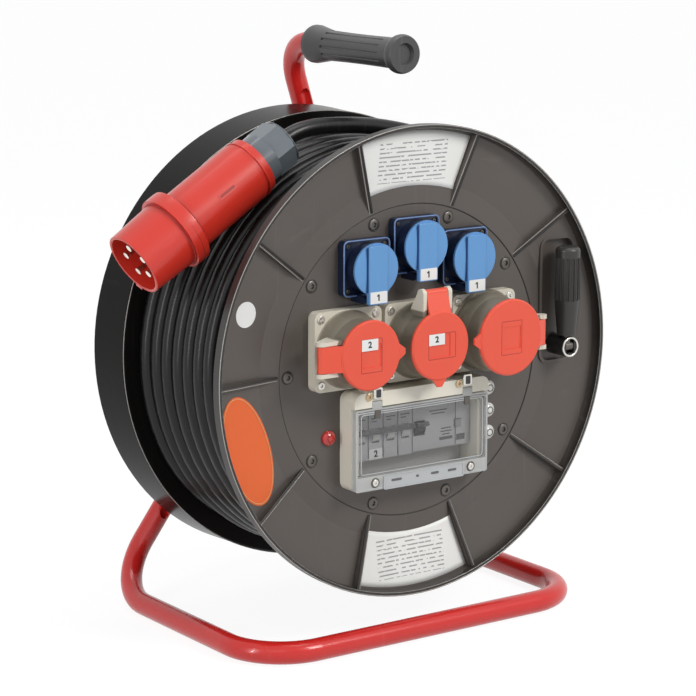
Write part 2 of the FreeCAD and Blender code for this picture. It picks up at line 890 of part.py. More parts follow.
def make_mains_base(x, z):
    """Square plate with a raised border, round collar with the plug's recess, and hinge ears."""
    half = mains_plate_half
    plate_front = panel_y - mains_plate_height
    collar_front = panel_y - mains_collar_height
    recess_floor = collar_front + mains_bore_depth
    body = rounded_block(x - half, x + half, plate_front, panel_y, z - half, z + half,
                         mains_plate_corner)
    inner = half - mains_border
    sunk = rounded_block(x - inner, x + inner, plate_front - overrun,
                         plate_front + mains_border_depth, z - inner, z + inner,
                         mains_plate_corner - mains_border)
    body = body.cut(sunk)
    collar = rod_y(mains_collar_radius, collar_front, panel_y, x, z)
    back = rod_y(mains_back_radius, panel_y, panel_y + mains_back_depth, x, z)
    hinge_z = z - mains_hinge_drop
    ears = []
    for side in (-1, 1):
        inner_x = x + side * (mains_tab_width / 2 + mains_ear_gap)
        outer_x = inner_x + side * mains_ear_width
        low_x, high_x = min(inner_x, outer_x), max(inner_x, outer_x)
        nose = rod(mains_ear_radius, Vector(low_x, mains_hinge_y, hinge_z),
                   Vector(high_x, mains_hinge_y, hinge_z))
        arm = block(low_x, high_x, mains_hinge_y, panel_y,
                    hinge_z - mains_ear_radius, hinge_z + mains_ear_radius)
        ears += [nose, arm]
    reach = mains_tab_width / 2 + mains_ear_gap + mains_ear_width
    pin = rod(mains_hinge_pin_radius, Vector(x - reach, mains_hinge_y, hinge_z),
              Vector(x + reach, mains_hinge_y, hinge_z))
    body = body.multiFuse([collar, back, pin] + ears)
    body = body.cut(rod_y(mains_bore_radius, collar_front - overrun, recess_floor, x, z))
    for side in (-1, 1):
        hole = rod_y(mains_pin_radius, collar_front, recess_floor + mains_pin_depth,
                     x + side * mains_pin_offset, z)
        body = body.cut(hole)
    return body


def make_mains_lid(x, z):
    """Round domed lid with a raised strip that runs down into the hinge tab."""
    back = panel_y - mains_collar_height - seat_gap
    front = back - mains_lid_thickness
    profile = [
        (0, back),
        (mains_lid_radius, back),
        (mains_lid_radius, back - mains_lid_edge),
        dome(mains_lid_radius, back - mains_lid_edge, front),
    ]
    disc = turned(profile, x, z)
    half = mains_tab_width / 2
    strip = rounded_block(x - half, x + half, front - mains_strip_height, back,
                          z - mains_tab_drop, z + mains_strip_top, mains_strip_height)
    hinge_z = z - mains_hinge_drop
    barrel = rod(mains_barrel_radius, Vector(x - half, mains_hinge_y, hinge_z),
                 Vector(x + half, mains_hinge_y, hinge_z))
    web = block(x - half, x + half, back - seat_gap, mains_hinge_y,
                hinge_z - mains_barrel_radius, hinge_z + mains_barrel_radius)
    bore = rod(mains_hinge_pin_radius + bearing_gap, Vector(x - overrun, mains_hinge_y, hinge_z),
               Vector(x + overrun, mains_hinge_y, hinge_z))
    return disc.multiFuse([strip, barrel, web]).cut(bore)


# Round industrial sockets with red lids

cee_sockets = []
for cee_name, cee_x, hinge_angle, size_name in (
        ("left", -cee_pitch, 180.0, "small"),
        ("middle", 0.0, 90.0, "small"),
        ("right", cee_pitch, 0.0, "large")):
    large = size_name == "large"
    cee_sockets.append({
        "name": cee_name,
        "x": cee_x,
        "angle": hinge_angle,
        "lid": large_lid_radius if large else small_lid_radius,
        "collar": large_collar_radius if large else small_collar_radius,
        "bore": large_collar_bore if large else small_collar_bore,
        "front": large_collar_front_y if large else small_collar_front_y,
        "carrier": large_carrier_radius if large else small_carrier_radius,
        "circle": large_contact_circle if large else small_contact_circle,
        "contact": large_contact_radius if large else small_contact_radius,
        "reach": large_hinge_reach if large else small_hinge_reach,
        "hinge_y": large_hinge_y if large else small_hinge_y,
    })


def place_cee(shape, cee):
    """Turns a socket's piece so that its hinge points the right way, and moves it home."""
    placed = turn_about_axis(shape, cee["angle"])
    placed.translate(Vector(cee["x"], 0, cee_z))
    return placed


def make_cee_housing(cee):
    """Plate with corner holes, dome, collar with the plug's well, and hinge ears with a pin."""
    half = cee_plate_half
    plate_front = panel_y - cee_plate_height
    plate = rounded_block(-half, half, plate_front, panel_y, -half, half, cee_plate_corner)
    for a in (-1, 1):
        for b in (-1, 1):
            plate = plate.cut(rod_y(cee_screw_hole_radius, plate_front - overrun,
                                    plate_front + cee_screw_hole_depth,
                                    a * cee_screw_offset, b * cee_screw_offset))
    collar, front = cee["collar"], cee["front"]
    dome_top = (plate_front + front) / 2
    bulge = (cee_dome_radius + collar) / 2 + cee_dome_bulge / 2
    profile = [
        (0, panel_y),
        (cee_dome_radius, panel_y),
        (cee_dome_radius, plate_front),
        ((bulge, (plate_front * 2 + dome_top) / 3), (collar, dome_top)),
        (collar, front),
        (0, front),
    ]
    bell = turned(profile)
    back = rod_y(collar - cee_back_inset, panel_y, panel_y + cee_back_depth)
    reach, hinge_y = cee["reach"], cee["hinge_y"]
    ear_front = max(hinge_y - cee_ear_radius, front)
    ear_profile = [
        (collar - cee_ear_width, ear_front),
        (reach, ear_front),
        (reach, hinge_y + cee_ear_radius),
        (collar - cee_back_inset / 2, cee_ear_root_y),
        (collar - cee_ear_width, cee_ear_root_y),
    ]
    pieces = [bell, back]
    inner = cee_strap_width / 2 + cee_ear_gap
    for side in (-1, 1):
        low = min(side * inner, side * (inner + cee_ear_width))
        high = low + cee_ear_width
        pieces.append(plate_u(ear_profile, low, high))
        pieces.append(rod(cee_ear_radius, Vector(reach, hinge_y, low), Vector(reach, hinge_y, high)))
    outer = inner + cee_ear_width
    pieces.append(rod(cee_hinge_pin_radius, Vector(reach, hinge_y, -outer), Vector(reach, hinge_y, outer)))
    body = plate.multiFuse(pieces)
    well = rod_y(cee["bore"], front - overrun, cee_floor_y)
    return place_cee(body.cut(well), cee)


def make_cee_carrier(cee):
    """The contact carrier that stands in the well, with its holes for the plug's pins."""
    front = cee["front"] + cee_carrier_drop
    body = rod_y(cee["carrier"], front, cee_floor_y)
    for i in range(cee_contact_count):
        place = polar(90.0 + 360.0 * i / cee_contact_count, cee["circle"], front)
        body = body.cut(rod_y(cee["contact"], front, front + cee_contact_depth, place.x, place.z))
    body.translate(Vector(cee["x"], 0, cee_z))
    return body


def make_cee_lid(cee):
    """Round lid with a sunk window, a pointed tab and a strap down to the hinge barrel."""
    back = cee["front"] - seat_gap
    front = back - cee_lid_thickness
    radius, reach, hinge_y = cee["lid"], cee["reach"], cee["hinge_y"]
    profile = [
        (0, back),
        (radius, back),
        (radius, back - cee_lid_edge),
        (radius - cee_lid_thickness + cee_lid_edge, front),
        (0, front),
    ]
    disc = turned(profile)
    tab_back, tab_front = back, back - cee_lid_edge
    tip = radius + cee_lid_tab_length
    tab_points = [Vector(-radius + cee_lid_edge, tab_back, -cee_lid_tab_half),
                  Vector(-tip, tab_back, -cee_lid_edge), Vector(-tip, tab_back, cee_lid_edge),
                  Vector(-radius + cee_lid_edge, tab_back, cee_lid_tab_half)]
    tab = Part.Face(Part.makePolygon(tab_points + tab_points[:1])).extrude(
        Vector(0, tab_front - tab_back, 0))
    half = cee_strap_width / 2
    strap_profile = [
        (radius - cee_hinge_barrel_radius, back),
        (radius - cee_hinge_barrel_radius, back - cee_strap_thickness),
        (reach, hinge_y - cee_hinge_barrel_radius),
        (reach + cee_hinge_barrel_radius, hinge_y),
        (reach, hinge_y + cee_hinge_barrel_radius / 2),
        (radius + seat_gap, back),
    ]
    strap = plate_u(strap_profile, -half, half)
    barrel = rod(cee_hinge_barrel_radius, Vector(reach, hinge_y, -half), Vector(reach, hinge_y, half))
    bore = rod(cee_hinge_pin_radius + bearing_gap, Vector(reach, hinge_y, -overrun),
               Vector(reach, hinge_y, overrun))
    sunk = block(-cee_window_half, cee_window_half, front - overrun, front + cee_window_depth,
                 -cee_window_half, cee_window_half)
    body = disc.multiFuse([tab, strap, barrel]).cut(bore).cut(sunk)
    return place_cee(body, cee)


# Breaker box

def make_box_housing():
    """The breaker box: a frame on the panel, a raised top bar and a tub behind the panel."""
    x, z = box_centre_x, box_centre_z
    top, bottom = z + box_half_height, z - box_half_height
    left, right = x - box_half_width, x + box_half_width
    frame = rounded_block(left, right, box_frame_y, panel_y, bottom, top, box_corner)
    bar = rounded_block(left, right, box_bar_y, panel_y, bottom, top, box_corner)
    bar = bar.common(block(left, right, box_bar_y, panel_y, top - box_bar_height, top))
    tub = block(x - tub_half_width, x + tub_half_width, panel_y, tub_back_y,
                z - tub_half_height, z + tub_half_height)
    body = frame.multiFuse([bar, tub])
    room = block(x - tub_half_width + box_wall, x + tub_half_width - box_wall,
                 box_frame_y - overrun, tub_back_y - box_wall,
                 z - tub_half_height + box_wall, top - box_bar_height)
    low_room = block(x - tub_half_width + box_wall, x + tub_half_width - box_wall,
                     panel_y, tub_back_y - box_wall,
                     z - tub_half_height + box_wall, z + tub_half_height - box_wall)
    body = body.cut(room).cut(low_room)
    pins = []
    for side in (-1, 1):
        knuckle_x = x + side * window_knuckle_offset
        half = window_knuckle_width / 2 + window_notch_gap
        notch = block(knuckle_x - half, knuckle_x + half, box_bar_y - overrun, box_frame_y,
                      bottom, window_hinge_z + window_knuckle_radius + window_notch_gap)
        body = body.cut(notch.common(block(left, right, box_bar_y - overrun, box_frame_y,
                                           top - box_bar_height - overrun, top)))
        pins.append(rod(window_hinge_pin_radius,
                        Vector(knuckle_x - half - box_wall, window_hinge_y, window_hinge_z),
                        Vector(knuckle_x + half + box_wall, window_hinge_y, window_hinge_z)))
    return body.multiFuse(pins)


def make_box_window():
    """The clear cover: a shallow tray with a thicker bottom band and two hinge knuckles."""
    x = box_centre_x
    left, right = x - box_half_width + window_clearance, x + box_half_width - window_clearance
    top = box_top_z - box_bar_height - window_clearance
    bottom = box_centre_z - box_half_height + window_clearance
    back = box_frame_y - seat_gap
    tray = rounded_block(left, right, window_front_y, back, bottom, top, window_wall)
    hollow = rounded_block(left + window_wall, right - window_wall, window_front_y + window_wall,
                           back + overrun, bottom + window_bottom_band, top - window_wall,
                           window_clearance)
    body = tray.cut(hollow)
    knuckles = []
    for side in (-1, 1):
        knuckle_x = x + side * window_knuckle_offset
        half = window_knuckle_width / 2
        barrel = rod(window_knuckle_radius, Vector(knuckle_x - half, window_hinge_y, window_hinge_z),
                     Vector(knuckle_x + half, window_hinge_y, window_hinge_z))
        strap = block(knuckle_x - half, knuckle_x + half, window_hinge_y - window_knuckle_radius,
                      window_hinge_y + window_knuckle_radius / 2, top - window_wall, window_hinge_z)
        knuckles += [barrel, strap]
    bore = rod(window_hinge_pin_radius + bearing_gap,
               Vector(x - box_half_width, window_hinge_y, window_hinge_z),
               Vector(x + box_half_width, window_hinge_y, window_hinge_z))
    return body.multiFuse(knuckles).cut(bore)


def device_block(left):
    """A row of breaker modules: a body with shoulders and a nose, one module beside the other."""
    right = left + module_count * module_width - device_gap
    z = lever_axis_z
    body = block(left, right, device_shoulder_y, device_back_y,
                 box_centre_z - tub_half_height + box_wall + seat_gap,
                 box_centre_z + tub_half_height - box_wall - seat_gap)
    nose = block(left, right, device_front_y, device_shoulder_y,
                 z - device_nose_half, z + device_nose_half)
    return body.fuse(nose)


def lever_slot(centre_x, width):
    """The slot in a module's nose that a lever turns in."""
    half = width / 2 + lever_slot_gap
    radius = lever_drum_radius + lever_slot_gap
    slot = block(centre_x - half, centre_x + half, device_front_y - overrun, lever_axis_y,
                 lever_axis_z - radius, lever_axis_z + radius)
    return slot.fuse(rod(radius, Vector(centre_x - half, lever_axis_y, lever_axis_z),
                         Vector(centre_x + half, lever_axis_y, lever_axis_z)))


def lever(centre_x, width):
    """One lever: a drum in its slot and a handle that points out of it, tilted up."""
    half = width / 2
    drum = rod(lever_drum_radius, Vector(centre_x - half, lever_axis_y, lever_axis_z),
               Vector(centre_x + half, lever_axis_y, lever_axis_z))
    handle = block(centre_x - half, centre_x + half, lever_reach_y, lever_axis_y,
                   lever_axis_z - lever_thickness / 2, lever_axis_z + lever_thickness / 2)
    handle.rotate(Vector(0, lever_axis_y, lever_axis_z), Vector(-1, 0, 0), lever_tilt)
    return drum.fuse(handle)


mcb_left_x = box_centre_x - tub_half_width + box_wall + device_margin
rcd_left_x = mcb_left_x + module_count * module_width
mcb_lever_places = [mcb_left_x + module_width * (i + 1 / 2) for i in range(module_count)]
rcd_lever_x = rcd_left_x + rcd_lever_centre_share * module_count * module_width
test_button_x = rcd_left_x + test_button_centre_share * module_count * module_width


def make_mcb_block():
    """The four-pole breaker's body."""
    body = device_block(mcb_left_x)
    for centre_x in mcb_lever_places:
        body = body.cut(lever_slot(centre_x, lever_drum_width))
    return body


def make_mcb_tie_bar():
    """The bar that joins the tips of the breaker's toggles, one slot of it round each tip."""
    half = lever_drum_width / 2
    edge = (module_width - lever_drum_width) / 4
    bar = block(mcb_lever_places[0] - half - edge, mcb_lever_places[-1] + half + edge,
                lever_reach_y - tie_bar_depth / 4, lever_reach_y + tie_bar_depth * 3 / 4,
                lever_axis_z - tie_bar_height / 2, lever_axis_z + tie_bar_height / 2)
    for centre_x in mcb_lever_places:
        slot = block(centre_x - half - bearing_gap, centre_x + half + bearing_gap,
                     lever_reach_y - bearing_gap, lever_axis_y,
                     lever_axis_z - lever_thickness / 2 - bearing_gap,
                     lever_axis_z + lever_thickness / 2 + bearing_gap)
        bar = bar.cut(slot)
    bar.rotate(Vector(0, lever_axis_y, lever_axis_z), Vector(-1, 0, 0), lever_tilt)
    return bar


def make_mcb_toggles():
    """The four toggles of the breaker."""
    return Part.makeCompound([lever(centre_x, lever_drum_width) for centre_x in mcb_lever_places])


def make_rcd_block():
    """The residual current breaker's body, with its lever's slot and its test button's hole."""
    body = device_block(rcd_left_x)
    body = body.cut(lever_slot(rcd_lever_x, rcd_lever_width))
    half = test_button_size / 2 + lever_slot_gap
    hole = block(test_button_x - half, test_button_x + half, device_front_y - overrun,
                 device_front_y + test_button_depth + test_button_proud,
                 lever_axis_z - half, lever_axis_z + half)
    return body.cut(hole)


def make_test_button():
    """The test button."""
    half = test_button_size / 2
    return block(test_button_x - half, test_button_x + half, device_front_y - test_button_proud,
                 device_front_y + test_button_depth, lever_axis_z - half, lever_axis_z + half)


def make_mounting_rail():
    """The top-hat rail that the breakers are clipped to."""
    half = tub_half_width - box_wall - seat_gap
    left, right = box_centre_x - half, box_centre_x + half
    z = lever_axis_z
    front = device_back_y + seat_gap
    back = tub_back_y - box_wall
    lips = [block(left, right, front, front + rail_thickness,
                  z + side * rail_half_height - (rail_lip if side > 0 else 0),
                  z + side * rail_half_height + (0 if side > 0 else rail_lip)) for side in (-1, 1)]
    webs = [block(left, right, front, back,
                  z + side * (rail_half_height - rail_lip) - rail_thickness / 2,
                  z + side * (rail_half_height - rail_lip) + rail_thickness / 2) for side in (-1, 1)]
    floor = block(left, right, back - rail_thickness, back,
                  z - rail_half_height + rail_lip, z + rail_half_height - rail_lip)
    return floor.multiFuse(webs + lips)


# Lamps

lamp_places = [(lamp_x, lamp_top_z - i * lamp_pitch) for i in range(3)] + [(fault_lamp_x, fault_lamp_z)]


def make_lamp(x, z):
    """A round lamp: a flange and a domed lens, with a neck through the panel."""
    front = panel_y - lamp_height
    edge = panel_y - lamp_flange_height
    profile = [
        (0, panel_y + lamp_neck_depth),
        (lamp_neck_radius, panel_y + lamp_neck_depth),
        (lamp_neck_radius, panel_y),
        (lamp_radius, panel_y),
        (lamp_radius, edge),
        dome(lamp_radius, edge, front),
    ]
    return turned(profile, x, z)


# Crank

def make_crank_bracket():
    """The round boss in the pocket, slotted for the crank's foot, with the hinge pin."""
    boss = rod_y(crank_boss_radius, crank_boss_front_y, pocket_floor_y, crank_x, crank_pivot_z)
    slot = block(crank_x - crank_slot_half, crank_x + crank_slot_half, -overrun,
                 crank_axis_y + crank_eye_radius + crank_slot_gap,
                 crank_pivot_z - crank_slot_bottom, crank_pivot_z + overrun)
    reach = crank_boss_radius - axle_chamfer
    pin = rod(crank_pin_radius, Vector(crank_x - reach, crank_axis_y, crank_pivot_z),
              Vector(crank_x + reach, crank_axis_y, crank_pivot_z))
    return boss.cut(slot).fuse(pin)


def make_crank_stem():
    """The crank's steel stem: an eye on the hinge pin, a rod and a head that keeps the knob."""
    half = crank_slot_half - crank_slot_gap
    eye = rod(crank_eye_radius, Vector(crank_x - half, crank_axis_y, crank_pivot_z),
              Vector(crank_x + half, crank_axis_y, crank_pivot_z))
    head_low = crank_knob_top_z - crank_knob_cap - crank_head_height
    shank = rod(crank_rod_radius, Vector(crank_x, crank_axis_y, crank_pivot_z),
                Vector(crank_x, crank_axis_y, head_low))
    head = rod(crank_head_radius, Vector(crank_x, crank_axis_y, head_low),
               Vector(crank_x, crank_axis_y, head_low + crank_head_height))
    bore = rod(crank_pin_radius + bearing_gap, Vector(crank_x - overrun, crank_axis_y, crank_pivot_z),
               Vector(crank_x + overrun, crank_axis_y, crank_pivot_z))
    return eye.multiFuse([shank, head]).cut(bore)


def make_crank_knob():
    """The knob that turns on the stem: tapered foot, fluted grip zone and rounded top."""
    bottom, top = crank_knob_bottom_z, crank_knob_top_z
    head_low = top - crank_knob_cap - crank_head_height
    bore = crank_rod_radius + bearing_gap
    room = crank_head_radius + running_gap
    outline = [
        Vector(bore, 0, bottom),
        Vector(crank_knob_foot_radius, 0, bottom),
        (Vector((crank_knob_foot_radius + crank_knob_radius) / 2, 0,
                (bottom + crank_knob_waist_z) / 2 - crank_knob_sag),
         Vector(crank_knob_radius, 0, crank_knob_waist_z)),
        Vector(crank_knob_radius, 0, top - crank_knob_cap),
        (Vector(crank_knob_radius - crank_knob_cap / 3, 0, top - crank_knob_cap / 3),
         Vector(crank_knob_radius - crank_knob_cap, 0, top)),
        Vector(0, 0, top),
        Vector(0, 0, head_low + crank_head_height + running_gap),
        Vector(room, 0, head_low + crank_head_height + running_gap),
        Vector(room, 0, head_low - running_gap),
        Vector(bore, 0, head_low - running_gap),
    ]
    face = Part.Face(Part.Wire(profile_edges(outline)))
    body = face.revolve(Vector(0, 0, 0), Vector(0, 0, 1), 360)
    flute = Part.makeCylinder(crank_flute_radius, crank_flute_top_z - crank_flute_bottom_z,
                              Vector(crank_knob_radius, 0, crank_flute_bottom_z))
    for i in range(crank_flute_count):
        cutter = flute.copy()
        cutter.rotate(Vector(0, 0, 0), Vector(0, 0, 1), 360.0 * i / crank_flute_count)
        body = body.cut(cutter)
    body.translate(Vector(crank_x, crank_axis_y, 0))
    return body


# Plug and the cable's free end

plug_axis_distance = end_reach + seat_gap + plug_rear_radius


def plug_frame():
    """The plug's mouth centre and the direction from its mouth to its gland."""
    a = math.radians(plug_tilt)
    way = Vector(math.cos(a), 0, math.sin(a))
    outward = Vector(-math.sin(a), 0, math.cos(a))
    foot = outward.multiply(plug_axis_distance)
    mouth = foot.sub(Vector(way).multiply(plug_length_to_foot))
    return Vector(mouth.x, plug_y, mouth.z), way


def lay_plug(shape):
    """Takes a piece made along Y, with the mouth at zero, to the plug's place."""
    mouth, way = plug_frame()
    laid = shape.copy()
    laid.rotate(Vector(0, 0, 0), Vector(0, 0, 1), -90)
    laid.rotate(Vector(0, 0, 0), Vector(0, 1, 0), -plug_tilt)
    laid.translate(mouth)
    return laid


def make_plug_shell():
    """The plug's red body: open sleeve, collar, tapering body and the ridge beside the mouth."""
    sleeve = plug_sleeve_length
    collar_end = sleeve + plug_collar_length
    profile = [
        (plug_mouth_radius, 0),
        (plug_sleeve_radius, sleeve),
        (plug_collar_radius, sleeve),
        ((plug_collar_radius + seat_gap, (sleeve + collar_end) / 2), (plug_collar_radius, collar_end)),
        (plug_neck_radius, collar_end + seat_gap),
        (plug_neck_radius, plug_body_end - plug_body_step),
        (plug_rear_radius, plug_body_end - plug_body_step),
        (plug_rear_radius, plug_body_end),
        (0, plug_body_end),
        (0, plug_sleeve_depth),
        (plug_sleeve_bore, plug_sleeve_depth),
        (plug_sleeve_bore, 0),
    ]
    body = turned(profile)
    ridge = block(-plug_ridge_width / 2, plug_ridge_width / 2, 0, plug_ridge_length,
                  plug_sleeve_bore + seat_gap, plug_mouth_radius + plug_ridge_height)
    return lay_plug(body.fuse(turn_about_axis(ridge, plug_ridge_angle)))


def make_plug_core():
    """The dark contact carrier at the bottom of the sleeve."""
    return lay_plug(rod_y(plug_core_radius, plug_sleeve_depth - plug_core_proud, plug_sleeve_depth))


def make_plug_pins():
    """The five contact pins."""
    base = plug_sleeve_depth - plug_core_proud
    pins = []
    for i in range(cee_contact_count):
        place = polar(90.0 + 360.0 * i / cee_contact_count, plug_pin_circle, base)
        pins.append(rod_y(plug_pin_radius, base - plug_pin_length, base, place.x, place.z))
    return lay_plug(Part.makeCompound(pins))


def make_plug_nut():
    """The gland nut: a round neck and a chamfered hexagon with the cable's hole."""
    start, end = plug_body_end, plug_nut_end
    neck = rod_y(plug_nut_neck_radius, start, start + plug_nut_neck_length)
    hexagonal = hexagon(plug_nut_radius, start + plug_nut_neck_length, end)
    cone = turned([
        (0, start),
        (plug_nut_radius + plug_nut_chamfer, start),
        (plug_nut_radius + plug_nut_chamfer, end - 2 * plug_nut_chamfer),
        (plug_nut_radius - 2 * plug_nut_chamfer, end),
        (0, end),
    ])
    return lay_plug(neck.fuse(hexagonal.common(cone)))


def tail_points():
    """The corners of the free end's route, from the gland nut on."""
    mouth, way = plug_frame()
    start = mouth.add(Vector(way).multiply(plug_nut_end))
    first = start.add(Vector(way).multiply(tail_first_run))
    return [start, first] + [polar(*place) for place in tail_route]


def make_cable_tail():
    """The cable's free end: straight runs joined by arcs as large as the runs allow."""
    points = tail_points()
    radii = []
    for before, corner, after in zip(points, points[1:], points[2:]):
        back, on = corner.sub(before), after.sub(corner)
        turn = back.getAngle(on)
        radii.append(tail_arc_share * min(back.Length, on.Length) / math.tan(turn / 2))
    wire = route_wire(points, radii)
    tube = swept_rod(wire, cable_radius)
    section = math.pi * cable_radius ** 2
    print("tail length %.0f" % wire.Length, "volume share %.4f" % (tube.Volume / section / wire.Length),
          "radii", " ".join("%.0f" % radius for radius in radii))
    return tube


def main():
    save("frame_base", make_frame_base())
    save("frame_arm", make_frame_arm())
    save("frame_upright", make_frame_upright())
    save("grip", make_grip())
    save("axle", make_axle())
    save("axle_spacer", make_axle_spacer())
    save("axle_washer", make_axle_washer())
    save("axle_nut", make_axle_nut())
    save("front_flange", make_front_flange())
    save("panel_disc", make_panel_disc())
    save("barrel", make_barrel())
    save("rear_flange", make_rear_flange())
    save("cable_core", make_cable_core())
    save("cable_winding", make_cable_winding())
    for name, (x, z) in zip(("left", "middle", "right"), mains_places):
        save("mains_base_" + name, make_mains_base(x, z))
        save("mains_lid_" + name, make_mains_lid(x, z))
    for cee in cee_sockets:
        save("cee_housing_" + cee["name"], make_cee_housing(cee))
        save("cee_carrier_" + cee["name"], make_cee_carrier(cee))
        save("cee_lid_" + cee["name"], make_cee_lid(cee))
    save("box_housing", make_box_housing())
    save("box_window", make_box_window())
    save("mcb_block", make_mcb_block())
    save("mcb_toggles", make_mcb_toggles())
    save("mcb_tie_bar", make_mcb_tie_bar())
    save("rcd_block", make_rcd_block())
    save("rcd_lever", lever(rcd_lever_x, rcd_lever_width))
    save("test_button", make_test_button())
    save("mounting_rail", make_mounting_rail())
    for name, (x, z) in zip(("pilot_lamp_1", "pilot_lamp_2", "pilot_lamp_3", "fault_lamp"), lamp_places):
        save(name, make_lamp(x, z))
    save("crank_bracket", make_crank_bracket())
    save("crank_stem", make_crank_stem())
    save("crank_knob", make_crank_knob())
    save("plug_shell", make_plug_shell())
    save("plug_core", make_plug_core())
    save("plug_pins", make_plug_pins())
    save("plug_nut", make_plug_nut())
    save("cable_tail", make_cable_tail())


if __name__ == "__main__":
    main()
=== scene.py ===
"""The looks of an extension cable reel: finishes, its cable, and its small trim."""

import json
import math
import random

import bmesh
import bpy
from bpy.props import FloatProperty, FloatVectorProperty, IntProperty, PointerProperty
from mathutils import Matrix, Vector


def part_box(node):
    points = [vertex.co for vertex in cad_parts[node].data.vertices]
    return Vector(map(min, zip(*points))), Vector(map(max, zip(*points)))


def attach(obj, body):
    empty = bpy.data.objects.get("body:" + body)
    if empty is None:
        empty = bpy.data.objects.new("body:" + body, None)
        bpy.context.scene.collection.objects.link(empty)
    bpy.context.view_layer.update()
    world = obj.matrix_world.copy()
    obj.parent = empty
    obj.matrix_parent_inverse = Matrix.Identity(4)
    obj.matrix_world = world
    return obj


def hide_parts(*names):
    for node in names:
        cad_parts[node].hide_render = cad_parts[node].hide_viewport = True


bl_info = {
    "name": "Cable Reel Dressing",
    "version": (1, 0, 0),
    "blender": (4, 5, 0),
    "location": "3D View > Sidebar > Cable Reel",
    "description": "Finishes, cable and trim for an extension cable reel",
    "category": "Object",
}

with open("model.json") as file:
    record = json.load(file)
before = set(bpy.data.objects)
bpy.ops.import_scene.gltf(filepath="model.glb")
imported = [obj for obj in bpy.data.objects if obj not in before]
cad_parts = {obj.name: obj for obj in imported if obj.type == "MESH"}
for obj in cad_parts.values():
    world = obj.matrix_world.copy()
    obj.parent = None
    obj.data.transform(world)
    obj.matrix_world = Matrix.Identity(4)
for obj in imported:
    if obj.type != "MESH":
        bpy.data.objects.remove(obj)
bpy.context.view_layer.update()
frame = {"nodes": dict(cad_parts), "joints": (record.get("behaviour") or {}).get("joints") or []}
nodes = frame["nodes"]
joint_places = {joint["name"]: joint.get("pos_m") for joint in frame["joints"]}

# Places taken from the frame, in metres
axis_height = joint_places["drum_spin"][2]
front_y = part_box("front_flange")[0].y
panel_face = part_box("panel_disc")[0].y
flange_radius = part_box("front_flange")[1].x
panel_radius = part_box("panel_disc")[1].x
sides = ("left", "middle", "right")
label_angles = (("top", 90), ("bottom", 270))
fin_count = 10
flute_count = 14


def reel_point(x, y, z):
    """A point from the drum's axis and the front edge of its front flange, in the row frame."""
    return Vector((x, front_y + y, axis_height + z))


def drum_polar(angle, radius, y):
    """A point at an angle from +X towards +Z about the drum's axis."""
    return reel_point(radius * math.cos(angle), y, radius * math.sin(angle))


def middle_of(node):
    """The middle of a solid piece's box."""
    low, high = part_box(node)
    return (low + high) / 2


cee_pitch = middle_of("cee_carrier_middle").x - middle_of("cee_carrier_left").x
cee_plate_gap = 0.004


# Settings that a user would change

def length_setting(name, description, default, minimum=0.0):
    """A length in metres."""
    return FloatProperty(name=name, description=description, default=default, min=minimum,
                         unit="LENGTH")


def angle_setting(name, description, degrees):
    """An angle."""
    return FloatProperty(name=name, description=description, default=math.radians(degrees),
                         subtype="ANGLE")


def colour_setting(name, description, default):
    """A colour."""
    return FloatVectorProperty(name=name, description=description, default=default, size=3,
                               subtype="COLOR")


class ReelCableSettings(bpy.types.PropertyGroup):
    diameter: length_setting("Diameter", "Outer diameter of the cable", 0.0164, 0.01)
    turns: IntProperty(name="Outer Turns", description="Turns in the outer layer", default=7, min=1)
    inner_turns: IntProperty(name="Inner Turns", description="Turns in the layer under it",
                             default=9, min=1)
    start_angle: angle_setting("Start Angle", "Where the outer layer begins", 205)
    waver: length_setting("Waver", "How far a turn strays from a perfect helix", 0.00018)
    swell: length_setting("Swell", "How much higher the turns lie at the back", 0.0085)
    tail_length: length_setting("Free Length", "Cable between winding and plug", 0.985, 0.1)


class ReelTrimSettings(bpy.types.PropertyGroup):
    panel_screw: length_setting("Panel Screw", "Radius of a panel screw's head", 0.0054, 0.001)
    socket_screw: length_setting("Socket Screw", "Radius of a socket screw's head", 0.0039, 0.001)
    label_rise: length_setting("Label Thickness", "Thickness of stickers and labels", 0.00025,
                               0.00005)
    number_size: length_setting("Number Size", "Height of the printed numbers", 0.0068, 0.001)


class ReelColourSettings(bpy.types.PropertyGroup):
    tube: colour_setting("Stand", "Colour of the stand's enamel", (0.72, 0.022, 0.018))
    drum: colour_setting("Drum", "Colour of the drum's plastic", (0.098, 0.084, 0.074))
    lid_red: colour_setting("Red Lids", "Colour of the industrial lids", (0.88, 0.098, 0.050))
    lid_blue: colour_setting("Blue Lids", "Colour of the household lids", (0.125, 0.33, 0.66))
    plug: colour_setting("Plug", "Colour of the plug's body", (0.70, 0.038, 0.022))
    housing: colour_setting("Housings", "Colour of the socket housings", (0.76, 0.715, 0.60))


class ReelStageSettings(bpy.types.PropertyGroup):
    azimuth: angle_setting("Azimuth", "Camera's turn about the vertical", -35.2154)
    elevation: angle_setting("Elevation", "Camera's height angle", 11.4596)
    roll: angle_setting("Roll", "Camera's roll", 0.0808)
    distance: FloatProperty(name="Distance", description="Camera's distance from its target",
                            default=2.41896, unit="LENGTH")
    lens: FloatProperty(name="Lens", description="Focal length in millimetres on a 36 mm sensor",
                        default=133.112)
    key_power: FloatProperty(name="Key Light", description="Power of the main light in watts",
                             default=46.0)
    strip_power: FloatProperty(name="Strip Light", default=11.0,
                               description="Power of the tall light on the left")
    fill_power: FloatProperty(name="Fill Light", description="Power of the fill light in watts",
                              default=11.0)


# Shared helpers

def deselect_all():
    """Leaves edit mode and deselects every object."""
    if bpy.context.object and bpy.context.object.mode != "OBJECT":
        bpy.ops.object.mode_set(mode="OBJECT")
    bpy.ops.object.select_all(action="DESELECT")


def select_only(piece):
    """Selects one object and makes it the active one."""
    deselect_all()
    piece.select_set(True)
    bpy.context.view_layer.objects.active = piece


